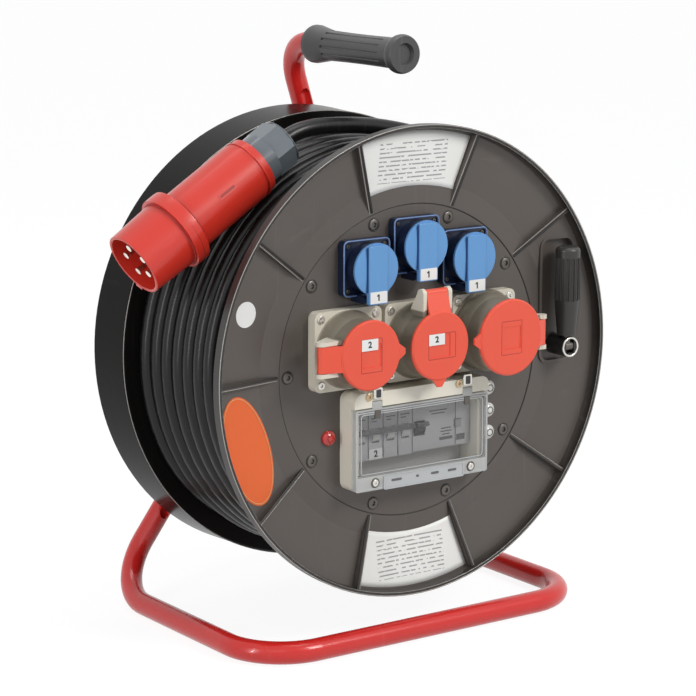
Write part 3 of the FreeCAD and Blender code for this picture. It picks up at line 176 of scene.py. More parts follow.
def settle(piece):
    """Moves a selected piece's place, turn and scale into its mesh."""
    bpy.ops.object.transform_apply(location=True, rotation=True, scale=True)
    return piece


def start_edit(piece, mode="FACE"):
    """Opens a piece in edit mode with nothing selected."""
    select_only(piece)
    bpy.ops.object.mode_set(mode="EDIT")
    bpy.ops.mesh.select_mode(type=mode)
    bpy.ops.mesh.select_all(action="DESELECT")


def pick(piece, kind, wanted):
    """In edit mode, selects the faces, edges or vertices that pass a test."""
    mesh = bmesh.from_edit_mesh(piece.data)
    for part in getattr(mesh, kind):
        part.select = wanted(part)
    mesh.select_flush_mode()
    bmesh.update_edit_mesh(piece.data)


def faces_front(face):
    """Whether a face looks to the front."""
    return face.normal.y < -0.9


def end_edit(piece, smooth=35.0):
    """Leaves edit mode, settles the piece and shades it smooth up to an angle."""
    bpy.ops.object.mode_set(mode="OBJECT")
    select_only(piece)
    settle(piece)
    bpy.ops.object.shade_smooth_by_angle(angle=math.radians(smooth))
    return piece


def add_modifier(piece, name, kind, **settings):
    """Gives a piece a modifier and applies it."""
    modifier = piece.modifiers.new(name, kind)
    for label, value in settings.items():
        setattr(modifier, label, value)
    select_only(piece)
    bpy.ops.object.modifier_apply(modifier=modifier.name)


def soften(piece, width):
    """Rounds a piece's sharp edges with a bevel."""
    add_modifier(piece, "Rounded edges", "BEVEL", width=width, segments=2, limit_method="ANGLE",
                 angle_limit=math.radians(30), harden_normals=False)
    return piece


def add_primitive(name, kind, scale=(1, 1, 1), **settings):
    """Starts a piece from one of Blender's primitives and settles it."""
    deselect_all()
    getattr(bpy.ops.mesh, "primitive_%s_add" % kind)(**settings)
    piece = bpy.context.object
    piece.name = name
    piece.scale = scale
    return settle(piece)


def add_disc(name, radius, depth, centre, segments):
    """Starts a round piece with its axis along Y."""
    return add_primitive(name, "cylinder", vertices=segments, radius=radius, depth=depth,
                         location=centre, rotation=(math.radians(90), 0, 0))


def add_block(name, size, centre):
    """Starts a box-shaped piece of a size about a centre."""
    return add_primitive(name, "cube", size, size=1, location=centre)


def add_torus(name, ring, tube, centre, segments=40, sides=10, facing_front=True):
    """A ring about an axis along Y, or else along Z."""
    piece = add_primitive(name, "torus", major_radius=ring, minor_radius=tube, location=centre,
                          rotation=(math.radians(90) if facing_front else 0, 0, 0),
                          major_segments=segments, minor_segments=sides)
    bpy.ops.object.shade_smooth()
    return piece


def add_curve(name, points, radius, resolution, kind="POLY", closed=False):
    """A round curve along a line of points."""
    curve = bpy.data.curves.new(name, "CURVE")
    curve.dimensions = "3D"
    curve.bevel_depth = radius
    curve.bevel_resolution = resolution
    curve.use_fill_caps = not closed
    spline = curve.splines.new(kind)
    spline.points.add(len(points) - 1)
    spline.use_cyclic_u = closed
    for target, point in zip(spline.points, points):
        target.co = (*point, 1)
    piece = bpy.data.objects.new(name, curve)
    bpy.context.scene.collection.objects.link(piece)
    return piece


def add_tube(name, points, radius, closed=False, sides=8):
    """A round tube that follows close points, as a mesh."""
    select_only(add_curve(name, points, radius, (sides - 4) // 2, closed=closed))
    bpy.ops.object.convert(target="MESH")
    bpy.ops.object.shade_smooth()
    return bpy.context.object


def add_plate(name, size, centre, corner, segments=4):
    """A flat plate with rounded corners that faces the front."""
    piece = add_block(name, size, centre)
    start_edit(piece, "EDGE")
    pick(piece, "edges", lambda edge: abs(edge.verts[0].co.y - edge.verts[1].co.y) > size[1] * 0.9)
    bpy.ops.mesh.bevel(offset=corner, segments=segments, affect="EDGES")
    return end_edit(piece)


def rounded_outline(centre, width, height, corner, steps=5):
    """Points of a rounded rectangle that faces the front."""
    points = []
    for turn, (a, b) in enumerate(((1, 1), (-1, 1), (-1, -1), (1, -1))):
        for i in range(steps + 1):
            angle = math.radians(90) * (turn + i / steps)
            points.append(Vector((centre.x + a * (width / 2 - corner) + corner * math.cos(angle),
                                  centre.y,
                                  centre.z + b * (height / 2 - corner) + corner * math.sin(angle))))
    return points


def copy_of(piece, name, change):
    """A copy with its own mesh, moved or turned by a matrix."""
    copy = piece.copy()
    copy.data = piece.data.copy()
    copy.data.transform(change)
    copy.name = name
    bpy.context.scene.collection.objects.link(copy)
    return copy


def turn_about_drum(angle):
    """The turn about the drum's axis from +X towards +Z."""
    centre = Matrix.Translation(Vector((0, 0, axis_height)))
    return centre @ Matrix.Rotation(-angle, 4, "Y") @ centre.inverted()


def finish_piece(piece, body, finish):
    """Gives a piece its material and the body that it moves with."""
    piece.data.materials.clear()
    piece.data.materials.append(materials[finish])
    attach(piece, body)
    return piece


# Shader helpers

def feed(tree, node, inputs):
    """Links or sets the inputs of a shader node, by label or number."""
    for label, value in inputs.items():
        socket = node.inputs[label]
        if isinstance(value, bpy.types.NodeSocket):
            tree.links.new(value, socket)
        else:
            socket.default_value = (*value, 1.0) if socket.type == "RGBA" else value
    return node


def add_node(tree, kind, inputs=None, **settings):
    """A shader node with its settings and inputs."""
    node = tree.nodes.new("ShaderNode" + kind)
    for name, value in settings.items():
        setattr(node, name, value)
    return feed(tree, node, inputs or {})


def calculate(tree, operation, *values):
    """The result of a math node."""
    return add_node(tree, "Math", dict(enumerate(values)), operation=operation).outputs[0]


def noise(tree, vector, scale, detail, roughness=0.5):
    """A noise that reads a vector."""
    return add_node(tree, "TexNoise", {"Vector": vector, "Scale": scale, "Detail": detail,
                                       "Roughness": roughness}).outputs["Fac"]


def map_range(tree, value, low, high, start=0.0, end=1.0):
    """A value that runs from start to end while another runs from low to high."""
    return add_node(tree, "MapRange", {"Value": value, "From Min": low, "From Max": high,
                                       "To Min": start, "To Max": end}).outputs["Result"]


def mixed(tree, factor, first, second):
    """A colour mixed from two by a factor."""
    return add_node(tree, "Mix", {"Factor": factor, "A": first, "B": second},
                    data_type="RGBA").outputs["Result"]


def split_axes(tree, vector):
    """A vector's X, Y and Z."""
    return add_node(tree, "SeparateXYZ", {"Vector": vector}).outputs


def place_group(tree, name, **values):
    """The outputs of a shared shader group, placed with its own values."""
    return add_node(tree, "Group", values, node_tree=groups[name]).outputs


# Shader groups

socket_kinds = {"Vector": "Vector", "Normal": "Vector", "Colour": "Color"}
groups = {}


def start_group(name, inputs, outputs):
    """Starts a shared shader group: its tree, what it is given, and its output node."""
    group = bpy.data.node_groups.new(name, "ShaderNodeTree")
    groups[name] = group
    for way, labels in (("INPUT", inputs), ("OUTPUT", outputs)):
        for label in labels:
            socket = group.interface.new_socket(
                label, in_out=way, socket_type="NodeSocket" + socket_kinds.get(label, "Float"))
            if way == "INPUT" and inputs[label] is not None:
                socket.default_value = inputs[label]
    return group, group.nodes.new("NodeGroupInput").outputs, group.nodes.new("NodeGroupOutput")


def build_moulded_grain():
    """Fine spark-eroded grain with a slow waviness under it."""
    tree, given, result = start_group(
        "Moulded Grain", {"Vector": None, "Scale": 900.0, "Depth": 0.00004, "Waviness": 0.3},
        ("Normal", "Grain"))
    fine = noise(tree, given["Vector"], given["Scale"], 2.0)
    broad = noise(tree, given["Vector"], 28.0, 1.0)
    height = calculate(tree, "ADD", fine, calculate(tree, "MULTIPLY", broad, given["Waviness"]))
    bump = add_node(tree, "Bump", {"Strength": 1.0, "Distance": given["Depth"], "Height": height})
    feed(tree, result, {"Normal": bump.outputs["Normal"], "Grain": fine})


def build_colour_drift():
    """Slow, uneven drift of a colour over a surface."""
    tree, given, result = start_group(
        "Colour Drift", {"Vector": None, "Colour": (0.5, 0.5, 0.5, 1), "Drift": 0.1, "Scale": 9.0},
        ("Colour",))
    broad = noise(tree, given["Vector"], given["Scale"], 4.0, 0.6)
    centred = calculate(tree, "SUBTRACT", broad, 0.5)
    swing = calculate(tree, "MULTIPLY", centred, given["Drift"])
    hue = add_node(tree, "HueSaturation", {"Color": given["Colour"],
                                           "Value": calculate(tree, "ADD", swing, 1.0)})
    feed(tree, result, {"Colour": hue.outputs["Color"]})


def build_handling_marks():
    """Thin rubbed scratches in two directions, as a mask."""
    tree, given, result = start_group("Handling Marks", {"Vector": None, "Amount": 0.3}, ("Mask",))
    masks = []
    for stretch, seed in (((6.0, 260.0, 40.0), 0.3), ((210.0, 12.0, 7.0), 1.7)):
        laid = add_node(tree, "Mapping", {"Vector": given["Vector"], "Scale": stretch,
                                          "Rotation": (seed, seed * 0.7, seed * 1.3)})
        masks.append(map_range(tree, noise(tree, laid.outputs["Vector"], 1.0, 2.0), 0.66, 0.74))
    both = calculate(tree, "MAXIMUM", *masks)
    feed(tree, result, {"Mask": calculate(tree, "MULTIPLY", both, given["Amount"])})


def build_settled_dust():
    """Dust that lies on what faces up, in patches, as a mask."""
    tree, given, result = start_group("Settled Dust", {"Vector": None, "Amount": 0.2}, ("Mask",))
    normal = add_node(tree, "NewGeometry").outputs["Normal"]
    upward = map_range(tree, split_axes(tree, normal)["Z"], 0.1, 1.0)
    patches = noise(tree, given["Vector"], 60.0, 5.0, 0.65)
    mask = calculate(tree, "MULTIPLY", upward, patches)
    feed(tree, result, {"Mask": calculate(tree, "MULTIPLY", mask, given["Amount"])})


# Finishes

dust_colour = (0.42, 0.40, 0.37)
materials = {}


def start_material(name):
    """A new material, its tree and its object coordinates."""
    material = bpy.data.materials.new(name)
    material.use_nodes = True
    return material, material.node_tree, add_node(material.node_tree, "TexCoord").outputs["Object"]


def tinted(colour, shares):
    """A colour with each part scaled."""
    return tuple(c * share for c, share in zip(colour, shares))


def paled(colour):
    """The paler shade of a rubbed colour."""
    return tuple(min(1.0, c * 1.5 + 0.03) for c in colour)


def worn_colour(tree, place, colour, rubbed, drift, marks, dust=0.0, scale=9.0):
    """A colour that drifts, with rubbed marks and, if asked for, a film of dust."""
    worn = place_group(tree, "Colour Drift", Vector=place, Colour=colour, Drift=drift,
                       Scale=scale)["Colour"]
    films = [("Handling Marks", marks, rubbed)]
    if dust:
        films.append(("Settled Dust", dust, dust_colour))
    for name, amount, shade in films:
        mask = place_group(tree, name, Vector=place, Amount=amount)["Mask"]
        worn = mixed(tree, mask, worn, shade)
    return worn


def finish_shader(tree, place, colour, rough, grain, waviness, values):
    """Feeds a material's shader: its colour, a grain that also sets the roughness, and values."""
    surface = place_group(tree, "Moulded Grain", Vector=place, Scale=grain[0], Depth=grain[1],
                          Waviness=waviness)
    if not isinstance(rough, float):
        rough = map_range(tree, surface["Grain"], 0.0, 1.0, *rough)
    feed(tree, tree.nodes["Principled BSDF"], {"Base Color": colour, "Roughness": rough,
                                               "Normal": surface["Normal"], **values})


def moulded_plastic(name, colour, rough=(0.38, 0.5), grain=(900.0, 0.00003), drift=0.12,
                    marks=0.2, dust=0.0, coat=0.0, gloss=0.5):
    """Moulded plastic: grain, slow colour drift, rubbed marks and a little dust."""
    material, tree, place = start_material(name)
    worn = worn_colour(tree, place, colour, paled(colour), drift, marks, dust)
    finish_shader(tree, place, worn, rough, grain, 0.3,
                  {"Specular IOR Level": gloss, "Coat Weight": coat, "Coat Roughness": 0.12})
    return material


def enamel(name, colour):
    """Glossy stoved enamel on steel tube: orange peel, and a clear gloss."""
    material, tree, place = start_material(name)
    worn = worn_colour(tree, place, colour, (0.80, 0.16, 0.12), 0.14, 0.10)
    finish_shader(tree, place, worn, (0.20, 0.28), (160.0, 0.000012), 1.2,
                  {"Coat Weight": 0.15, "Coat Roughness": 0.06})
    return material


def bare_metal(name, colour, rough=(0.22, 0.42)):
    """Plated or turned metal with fine marks."""
    material, tree, place = start_material(name)
    tint = place_group(tree, "Colour Drift", Vector=place, Colour=colour, Drift=0.25, Scale=40.0)
    finish_shader(tree, place, tint["Colour"], rough, (300.0, 0.00002), 0.2, {"Metallic": 1.0})
    return material


def window_glass(name):
    """Smoky clear plastic, milky along its rim and its bottom band."""
    material, tree, place = start_material(name)
    low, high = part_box("box_window")
    axes = split_axes(tree, place)
    rims = map_range(tree, axes["Z"], low.z + 0.0155, low.z + 0.0135)
    for axis, start, end in (("X", low.x + 0.0034, low.x + 0.0018),
                             ("X", high.x - 0.0034, high.x - 0.0018),
                             ("Z", high.z - 0.0102, high.z - 0.0086)):
        rims = calculate(tree, "MAXIMUM", rims, map_range(tree, axes[axis], start, end))
    colour = mixed(tree, rims, (0.26, 0.26, 0.27), (0.66, 0.67, 0.66))
    alpha = map_range(tree, rims, 0.0, 1.0, 0.17, 0.72)
    finish_shader(tree, place, colour, 0.09, (180.0, 0.00002), 1.0,
                  {"Alpha": alpha, "Specular IOR Level": 0.25})
    return material


def cable_rubber(name):
    """The cable's rubber sheath: satin, with scuffs."""
    material, tree, place = start_material(name)
    worn = worn_colour(tree, place, (0.0075, 0.0072, 0.0070), (0.040, 0.038, 0.036), 0.5, 0.25,
                       scale=35.0)
    finish_shader(tree, place, worn, (0.24, 0.34), (500.0, 0.00002), 1.0,
                  {"Specular IOR Level": 0.30})
    return material


def two_tone_plastic(name, outer, inner, centre, radius):
    """Moulded plastic in one colour within a radius of an axis along Y and another beyond it; where
    the darker one is a copy of the other, it is painted shade.
    """
    material, tree, place = start_material(name)
    half_fade = 0.0006
    shift = add_node(tree, "Mapping", {"Vector": place, "Location": (-centre.x, 0, -centre.z),
                                       "Scale": (1, 0, 1)})
    reach = add_node(tree, "VectorMath", {0: shift.outputs["Vector"]}, operation="LENGTH")
    inside = map_range(tree, reach.outputs["Value"], radius + half_fade, radius - half_fade)
    both = mixed(tree, inside, outer, inner)
    worn = worn_colour(tree, place, both, paled(inner), 0.14, 0.16, 0.04)
    finish_shader(tree, place, worn, (0.30, 0.44), (700.0, 0.00002), 0.3, {})
    return material


def ruled_label(name, origin):
    """White label stock with fine grey rules across it, in bands, and no words."""
    material, tree, place = start_material(name)
    line_gap, half_width, half_height = 0.0042, 0.040, 0.020
    laid = add_node(tree, "Mapping", {"Vector": place, "Location": -origin}).outputs["Vector"]
    axes = split_axes(tree, laid)
    rows = calculate(tree, "SINE", calculate(tree, "MULTIPLY", axes["Z"], math.tau / line_gap))
    mask = calculate(tree, "GREATER_THAN", rows, 0.55)
    for axis, reach in (("X", half_width), ("Z", half_height)):
        near = calculate(tree, "LESS_THAN", calculate(tree, "ABSOLUTE", axes[axis]), reach)
        mask = calculate(tree, "MULTIPLY", mask, near)
    broken = calculate(tree, "GREATER_THAN", noise(tree, laid, 260.0, 0.0), 0.42)
    mask = calculate(tree, "MULTIPLY", mask, broken)
    printed = mixed(tree, mask, (0.93, 0.93, 0.90), (0.36, 0.36, 0.37))
    tint = place_group(tree, "Colour Drift", Vector=place, Colour=printed, Drift=0.05, Scale=30.0)
    finish_shader(tree, place, tint["Colour"], (0.28, 0.4), (600.0, 0.00001), 0.5, {})
    return material


# Grains: scale and depth in metres
fine, smooth = (700.0, 0.00001), (500.0, 0.00001)
satin, even, open_grain = (800.0, 0.00001), (900.0, 0.00002), (500.0, 0.00002)

# Name, colour or the setting that holds it, roughness, grain's scale and depth, drift, marks,
# dust, coat and gloss of each plain plastic
plastics = {
    "grip": ("grip_rubber", (0.060, 0.060, 0.061), (0.36, 0.52), (520.0, 0.00003), 0.2, 0.3, 0.20),
    "drum": ("drum_plastic", "drum", (0.30, 0.44), (650.0, 0.00002), 0.16, 0.22, 0.05),
    # Painted shade: the rear flange and barrel take a near-black copy of the drum's plastic
    "drum_shaded_rear": ("drum_plastic_rear", (0.0085, 0.0078, 0.0072), (0.20, 0.30), (650.0, 0.00001),
                  0.2, 0.15, 0.01, 0.0, 0.06),
    "plug": ("plug_red", "plug", (0.26, 0.38), satin, 0.16, 0.12, 0.0, 0.25),
    "plug_dark": ("plug_nut_grey", (0.14, 0.165, 0.185), (0.14, 0.22), fine, 0.1, 0.15, 0.0, 0.3),
    "plug_inside": ("plug_carrier", (0.10, 0.012, 0.012), (0.4, 0.55)),
    "navy": ("socket_navy", (0.005, 0.012, 0.038), (0.26, 0.40), fine),
    "blue": ("lid_blue", "lid_blue", (0.3, 0.44), satin, 0.1, 0.1, 0.0, 0.10),
    "red": ("lid_red", "lid_red", (0.34, 0.46), (900.0, 0.00001), 0.10, 0.08, 0.0, 0.08),
    "red_sparkle": ("lid_red_eroded", "lid_red", (0.28, 0.50), (420.0, 0.00010), 0.07, 0.08, 0.0,
                    0.10),
    "black": ("carrier_black", (0.018, 0.018, 0.019), (0.35, 0.5)),
    "cream": ("box_cream", (0.86, 0.83, 0.71), (0.28, 0.4), (800.0, 0.00002), 0.08, 0.08, 0.0,
              0.2),
    "device": ("device_grey", (0.56, 0.56, 0.57), (0.4, 0.5), even, 0.06, 0.0),
    "white": ("toggle_white", (0.78, 0.78, 0.75), (0.26, 0.36), even, 0.05, 0.0, 0.0,
              0.2),
    "gloss_black": ("lever_black", (0.012, 0.012, 0.013), (0.2, 0.32), even, 0.1, 0.1, 0.0, 0.3),
    "button": ("button_grey", (0.34, 0.34, 0.36), (0.3, 0.4)),
    "lamp": ("lamp_white", (0.80, 0.81, 0.78), (0.12, 0.2), open_grain, 0.1, 0.0, 0.0, 0.6),
    "lamp_red": ("lamp_red", (0.55, 0.02, 0.015), (0.15, 0.25), open_grain, 0.1, 0.0, 0.0, 0.6),
    "knob": ("knob_black", (0.030, 0.028, 0.026), (0.30, 0.44), (600.0, 0.00002), 0.15, 0.25, 0.1),
    "paper": ("label_paper", (0.90, 0.90, 0.88), (0.4, 0.5), smooth, 0.03, 0.0),
    "ink": ("label_ink", (0.008, 0.008, 0.010), (0.5, 0.6), smooth, 0.03, 0.0),
    "orange": ("sticker_orange", (0.88, 0.15, 0.030), (0.42, 0.55), smooth, 0.16, 0.05),
    # Painted shade: near-black lines in the gap round the panel's edge and on the shaded side of
    # each fin
    "groove_black": ("groove_black", (0.012, 0.011, 0.010), (0.4, 0.5), fine),
    "red_dark": ("lid_red_shade", (0.36, 0.018, 0.014), (0.4, 0.5), fine, 0.1, 0.0),
    # Painted highlight: light grey-brown lines along the flanges' rim edges and along each fin
    "rim_bright": ("rim_edge", (0.40, 0.38, 0.35), (0.14, 0.24), fine, 0.5, 0.3, 0.0, 0.3),
    # Painted highlight: a bright blue line along each household socket base's raised border
    "border_highlight_blue": ("socket_border", (0.16, 0.26, 0.50), (0.2, 0.3), fine, 0.4, 0.2, 0.0, 0.2),
    # Painted shade: dark blue lines for the grooves beside each household lid's strip
    "groove_blue": ("lid_groove_blue", (0.010, 0.045, 0.16), (0.4, 0.5), fine),
    "clear": ("holder_milky", (0.52, 0.54, 0.55), (0.2, 0.3), smooth, 0.1, 0.0, 0.0, 0.3),
    # Dark grey for printed marks and the label holder's slots, and for painted shade along the
    # breakers' module seams
    "print_grey": ("print_grey", (0.13, 0.13, 0.135), (0.4, 0.5), smooth, 0.1, 0.0),
    "orange_line": ("sticker_line", (0.86, 0.42, 0.16), (0.3, 0.4), open_grain, 0.05, 0.0, 0.0,
                    0.3),
}

# Name, colour and roughness of each metal
metals = {
    "zinc": ("zinc_plate", (0.62, 0.62, 0.63)),
    "pin": ("nickelled_brass", (0.86, 0.83, 0.74), (0.14, 0.28)),
    "screw_dark": ("screw_black", (0.13, 0.12, 0.11), (0.3, 0.5)),
    "screw_bright": ("screw_nickel", (0.66, 0.64, 0.60), (0.2, 0.36)),
    "brass": ("screw_brass", (0.50, 0.38, 0.24), (0.3, 0.42)),
}

# The solid pieces of each finish
finished_nodes = {
    "enamel": "frame_base frame_arm frame_upright", "grip": "grip",
    "zinc": "axle axle_spacer axle_washer axle_nut mounting_rail", "front_flange": "front_flange",
    "drum": "panel_disc", "drum_shaded_rear": "barrel rear_flange",
    "cable": "cable_core cable_winding cable_tail", "cream": "box_housing", "glass": "box_window",
    "device": "mcb_block rcd_block", "white": "mcb_toggles",
    "gloss_black": "mcb_tie_bar rcd_lever", "button": "test_button",
    "lamp": "pilot_lamp_1 pilot_lamp_2 pilot_lamp_3", "lamp_red": "fault_lamp",
    "crank_bracket": "crank_bracket", "screw_dark": "crank_stem", "knob": "crank_knob",
    "plug": "plug_shell", "plug_inside": "plug_core", "pin": "plug_pins", "plug_dark": "plug_nut",
    "navy": "mains_base_left mains_base_middle mains_base_right",
    "blue": "mains_lid_left mains_lid_middle mains_lid_right",
    "black": "cee_carrier_left cee_carrier_middle cee_carrier_right",
    "red": "cee_lid_left cee_lid_middle", "red_sparkle": "cee_lid_right",
    "housing_left": "cee_housing_left", "housing_middle": "cee_housing_middle",
    "housing_right": "cee_housing_right",
}


class REEL_OT_finishes(bpy.types.Operator):
    """Builds the finishes and gives each solid piece its own"""
    bl_idname = "reel.finishes"
    bl_label = "Finishes"

    def execute(self, context):
        for build in (build_moulded_grain, build_colour_drift, build_handling_marks,
                      build_settled_dust):
            build()
        self.build_plain(context.scene.reel_colours)
        self.build_placed(context.scene.reel_colours)
        for finish, names in finished_nodes.items():
            for name in names.split():
                node = nodes[name]
                if not node.material_slots:
                    node.data.materials.append(None)
                for slot in node.material_slots:
                    slot.material = materials[finish]
        return {"FINISHED"}

    def build_plain(self, colours):
        """The finishes that are the same all over their pieces."""
        for key, (name, colour, *rest) in plastics.items():
            colour = getattr(colours, colour) if isinstance(colour, str) else colour
            materials[key] = moulded_plastic(name, colour, *rest)
        for key, row in metals.items():
            materials[key] = bare_metal(*row)
        materials["enamel"] = enamel("stand_enamel", colours.tube)
        materials["cable"] = cable_rubber("cable_rubber")
        materials["glass"] = window_glass("window_clear")

    def build_placed(self, colours):
        """The finishes that change about a place on the reel, with painted shade on the housings
        and the flange's rim.
        """
        # Painted shade: the round middle of each socket housing is a much darker copy of its colour
        painted_round_shade = tinted(colours.housing, (0.30, 0.28, 0.255))
        for side in sides:
            materials["housing_" + side] = two_tone_plastic(
                "housing_grey_" + side, colours.housing, painted_round_shade,
                middle_of("cee_carrier_" + side), 0.0415 if side == "right" else 0.0378)
        for side, angle in label_angles:
            materials["label_" + side] = ruled_label("rating_label_" + side,
                                                     drum_polar(math.radians(angle), 0.194, 0.0))
        # Painted shade: beyond this radius the front flange's rim is a much darker copy of the
        # drum's colour
        materials["front_flange"] = two_tone_plastic(
            "drum_plastic_front", tinted(colours.drum, (0.22,) * 3), colours.drum,
            reel_point(0, 0, 0), flange_radius - 0.0046)
        materials["crank_bracket"] = two_tone_plastic(
            "crank_mount", tinted(colours.drum, (0.6,) * 3), (0.016, 0.015, 0.015),
            Vector(joint_places["crank_fold"]), 0.0112)


# Cable

dive_turns = 0.22


def winding_points(settings, turns, radius, y_from, y_to, dive=0.0, swell=0.0):
    """Points of one layer's helix; the ends of a layer that dives go on towards the layer below."""
    steps = 72
    spare = dive_turns if dive else 0.0
    first_turn, last_turn = -spare, turns + spare
    rng = random.Random(turns)
    phases = [rng.uniform(0, math.tau) for _ in range(6)]
    points = []
    count = int((last_turn - first_turn) * steps)
    for i in range(count + 1):
        turn = first_turn + (last_turn - first_turn) * i / count
        angle = settings.start_angle + math.tau * turn
        stray = sum(math.sin(angle * (0.37 + 0.21 * k) + p) for k, p in enumerate(phases)) / 3
        outside = min(1.0, max(0.0, -turn, turn - turns) / dive_turns)
        drop = dive * outside ** 2 * (3 - 2 * outside)
        share = min(max(turn, 0.0), turns) / turns
        points.append(drum_polar(angle, radius + swell * share ** 2 - drop + stray * settings.waver,
                                 y_from + (y_to - y_from) * share + stray * settings.waver))
    return points


class REEL_OT_winding(bpy.types.Operator):
    """Winds the cable on the drum: the outer layer, and the layer under it"""
    bl_idname = "reel.winding"
    bl_label = "Wound Cable"

    def execute(self, context):
        settings = context.scene.reel_cable
        half = settings.diameter / 2
        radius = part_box("cable_winding")[1].x - half - settings.waver * 2
        inner_radius = radius - settings.diameter * 1.02
        for name, node, turns, reach, dive, swell, tube_sides in (
                ("cable_outer_layer", "cable_winding", settings.turns, radius, half * 1.7,
                 settings.swell, 20),
                ("cable_inner_layer", "cable_core", settings.inner_turns, inner_radius, 0.0,
                 0.0, 14)):
            low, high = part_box(node)
            line = winding_points(settings, turns, reach, low.y + half - front_y,
                                  high.y - half - front_y, dive, swell)
            layer = add_tube(name, line, half, sides=tube_sides)
            finish_piece(layer, "drum", "cable")
            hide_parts(node)
        return {"FINISHED"}


# The free cable's route: angle about the drum's axis in degrees, distance from it, and Y
tail_route = (
    (-149.0, 0.1999, 0.0321), (-131.0, 0.2004, 0.0323), (-113.0, 0.2030, 0.0321),
    (-95.0, 0.2070, 0.0323), (-77.0, 0.2120, 0.0321), (-59.0, 0.2165, 0.0323),
    (-41.0, 0.2186, 0.0334), (-23.0, 0.2188, 0.0390), (-5.0, 0.2188, 0.0480),
    (13.0, 0.2188, 0.0590), (31.0, 0.2188, 0.0700), (49.0, 0.2188, 0.0800),
    (67.0, 0.2186, 0.0880), (84.0, 0.2190, 0.0910), (98.0, 0.2260, 0.0880),
)
tail_first_run = 0.020
plug_tilt = math.radians(32.0)
plug_mouth_radius = 0.0318
plug_length = 0.195


def plug_frame():
    """The plug's mouth centre, from the box of its shell, and the way from there to its gland."""
    low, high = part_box("plug_shell")
    mouth = Vector((low.x + plug_mouth_radius * math.sin(plug_tilt), (low.y + high.y) / 2,
                    low.z + plug_mouth_radius * math.cos(plug_tilt)))
    return mouth, Vector((math.cos(plug_tilt), 0, math.sin(plug_tilt)))


class REEL_OT_free_cable(bpy.types.Operator):
    """Lays the cable's free end from the winding's slot to the plug"""
    bl_idname = "reel.free_cable"
    bl_label = "Free Cable"

    def execute(self, context):
        settings = context.scene.reel_cable
        mouth, way = plug_frame()
        end = mouth + way * plug_length
        points = [drum_polar(math.radians(a), r, y) for a, r, y in tail_route]
        points += [end + way * tail_first_run, end]
        piece = add_curve("cable_free_end", points, settings.diameter / 2, 8, "NURBS")
        piece.data.resolution_u = 16
        spline = piece.data.splines[0]
        spline.order_u = 3
        spline.use_endpoint_u = True
        finish_piece(piece, "stand", "cable")
        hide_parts("cable_tail")
        return {"FINISHED"}


# Screws

square_corners = ((-1, -1), (1, -1), (1, 1), (-1, 1))


def add_screw(name, radius, height, centre, recess):
    """One screw head that faces the front, with a countersunk drive recess."""
    piece = add_disc(name, radius, height, centre, 28)
    start_edit(piece)
    pick(piece, "faces", faces_front)
    bpy.ops.mesh.inset(thickness=radius * 0.16, depth=height * 0.22)
    bpy.ops.mesh.inset(thickness=radius * 0.84 - recess, depth=0)
    bpy.ops.mesh.extrude_region_move(TRANSFORM_OT_translate={"value": (0, height * 0.7, 0)})
    bpy.ops.transform.resize(value=(0.72, 1, 0.72), center_override=centre)
    return end_edit(piece, 30)


class REEL_OT_screws(bpy.types.Operator):
    """Sets the panel's screws and the socket housings' screws"""
    bl_idname = "reel.screws"
    bl_label = "Screws"

    def execute(self, context):
        trim = context.scene.reel_trim
        self.ring_the_panel(trim.panel_screw)
        for side in sides:
            centre = middle_of("cee_carrier_" + side)
            if side == "right":
                centre.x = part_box("cee_housing_right")[0].x + (cee_pitch - cee_plate_gap) / 2
            for k, (a, b) in enumerate(square_corners):
                place = Vector((centre.x + a * 0.0315, panel_face - 0.0111, centre.z + b * 0.0315))
                screw = add_screw("housing_screw_%s_%d" % (side, k), trim.socket_screw, 0.0022,
                                  place, 0.0017)
                finish_piece(screw, "drum", "screw_bright")
        return {"FINISHED"}

    def ring_the_panel(self, radius):
        """A ring of screws round the panel, each with a dark ring of painted shade where its recess
        is.
        """
        start = reel_point(panel_radius * 0.937, panel_face - front_y + 0.0002, 0)
        screw = add_screw("panel_screw_0", radius, 0.0022, start, 0.0024)
        finish_piece(screw, "drum", "screw_dark")
        start.y -= 0.0002
        # A near-black ring paints the shade in the screw's recess
        ring = add_torus("panel_screw_ring_0", radius * 1.12, 0.0006, start)
        finish_piece(ring, "drum", "knob")
        for i in range(1, fin_count):
            turn = turn_about_drum(math.tau * i / fin_count)
            for source, stem, finish in ((screw, "panel_screw_", "screw_dark"),
                                         (ring, "panel_screw_ring_", "knob")):
                finish_piece(copy_of(source, stem + str(i), turn), "drum", finish)


# Thin sheets and numbers

def drape_on(piece, node, rise, thickness):
    """Presses a thin sheet onto the front of a solid piece and gives it its thickness."""
    add_modifier(piece, "Pressed on", "SHRINKWRAP", wrap_method="PROJECT", use_project_y=True,
                 use_positive_direction=True, use_negative_direction=False, target=nodes[node],
                 offset=rise)
    add_modifier(piece, "Thickness", "SOLIDIFY", thickness=thickness, offset=0)


def add_sector(name, middle_angle, spread, inner, outer):
    """A flat sector about the drum's axis, in front of the front flange."""
    piece = add_primitive(name, "grid", x_subdivisions=10, y_subdivisions=1, size=1)
    start_edit(piece, "VERT")
    pick(piece, "verts", lambda vertex: vertex.co.y > 0)
    bpy.ops.mesh.delete(type="VERT")
    bpy.ops.object.mode_set(mode="OBJECT")
    piece.scale = (outer - inner, 1, 1)
    piece.location = ((outer + inner) / 2, front_y - 0.001 + 0.5, axis_height)
    settle(piece)
    piece.data.transform(turn_about_drum(middle_angle - spread / 2))
    start_edit(piece, "VERT")
    bpy.ops.mesh.select_all(action="SELECT")
    bpy.ops.mesh.spin(steps=28, angle=spread, center=(0, front_y, axis_height), axis=(0, 1, 0))
    bpy.ops.mesh.select_all(action="SELECT")
    bpy.ops.mesh.normals_make_consistent(inside=False)
    return end_edit(piece)


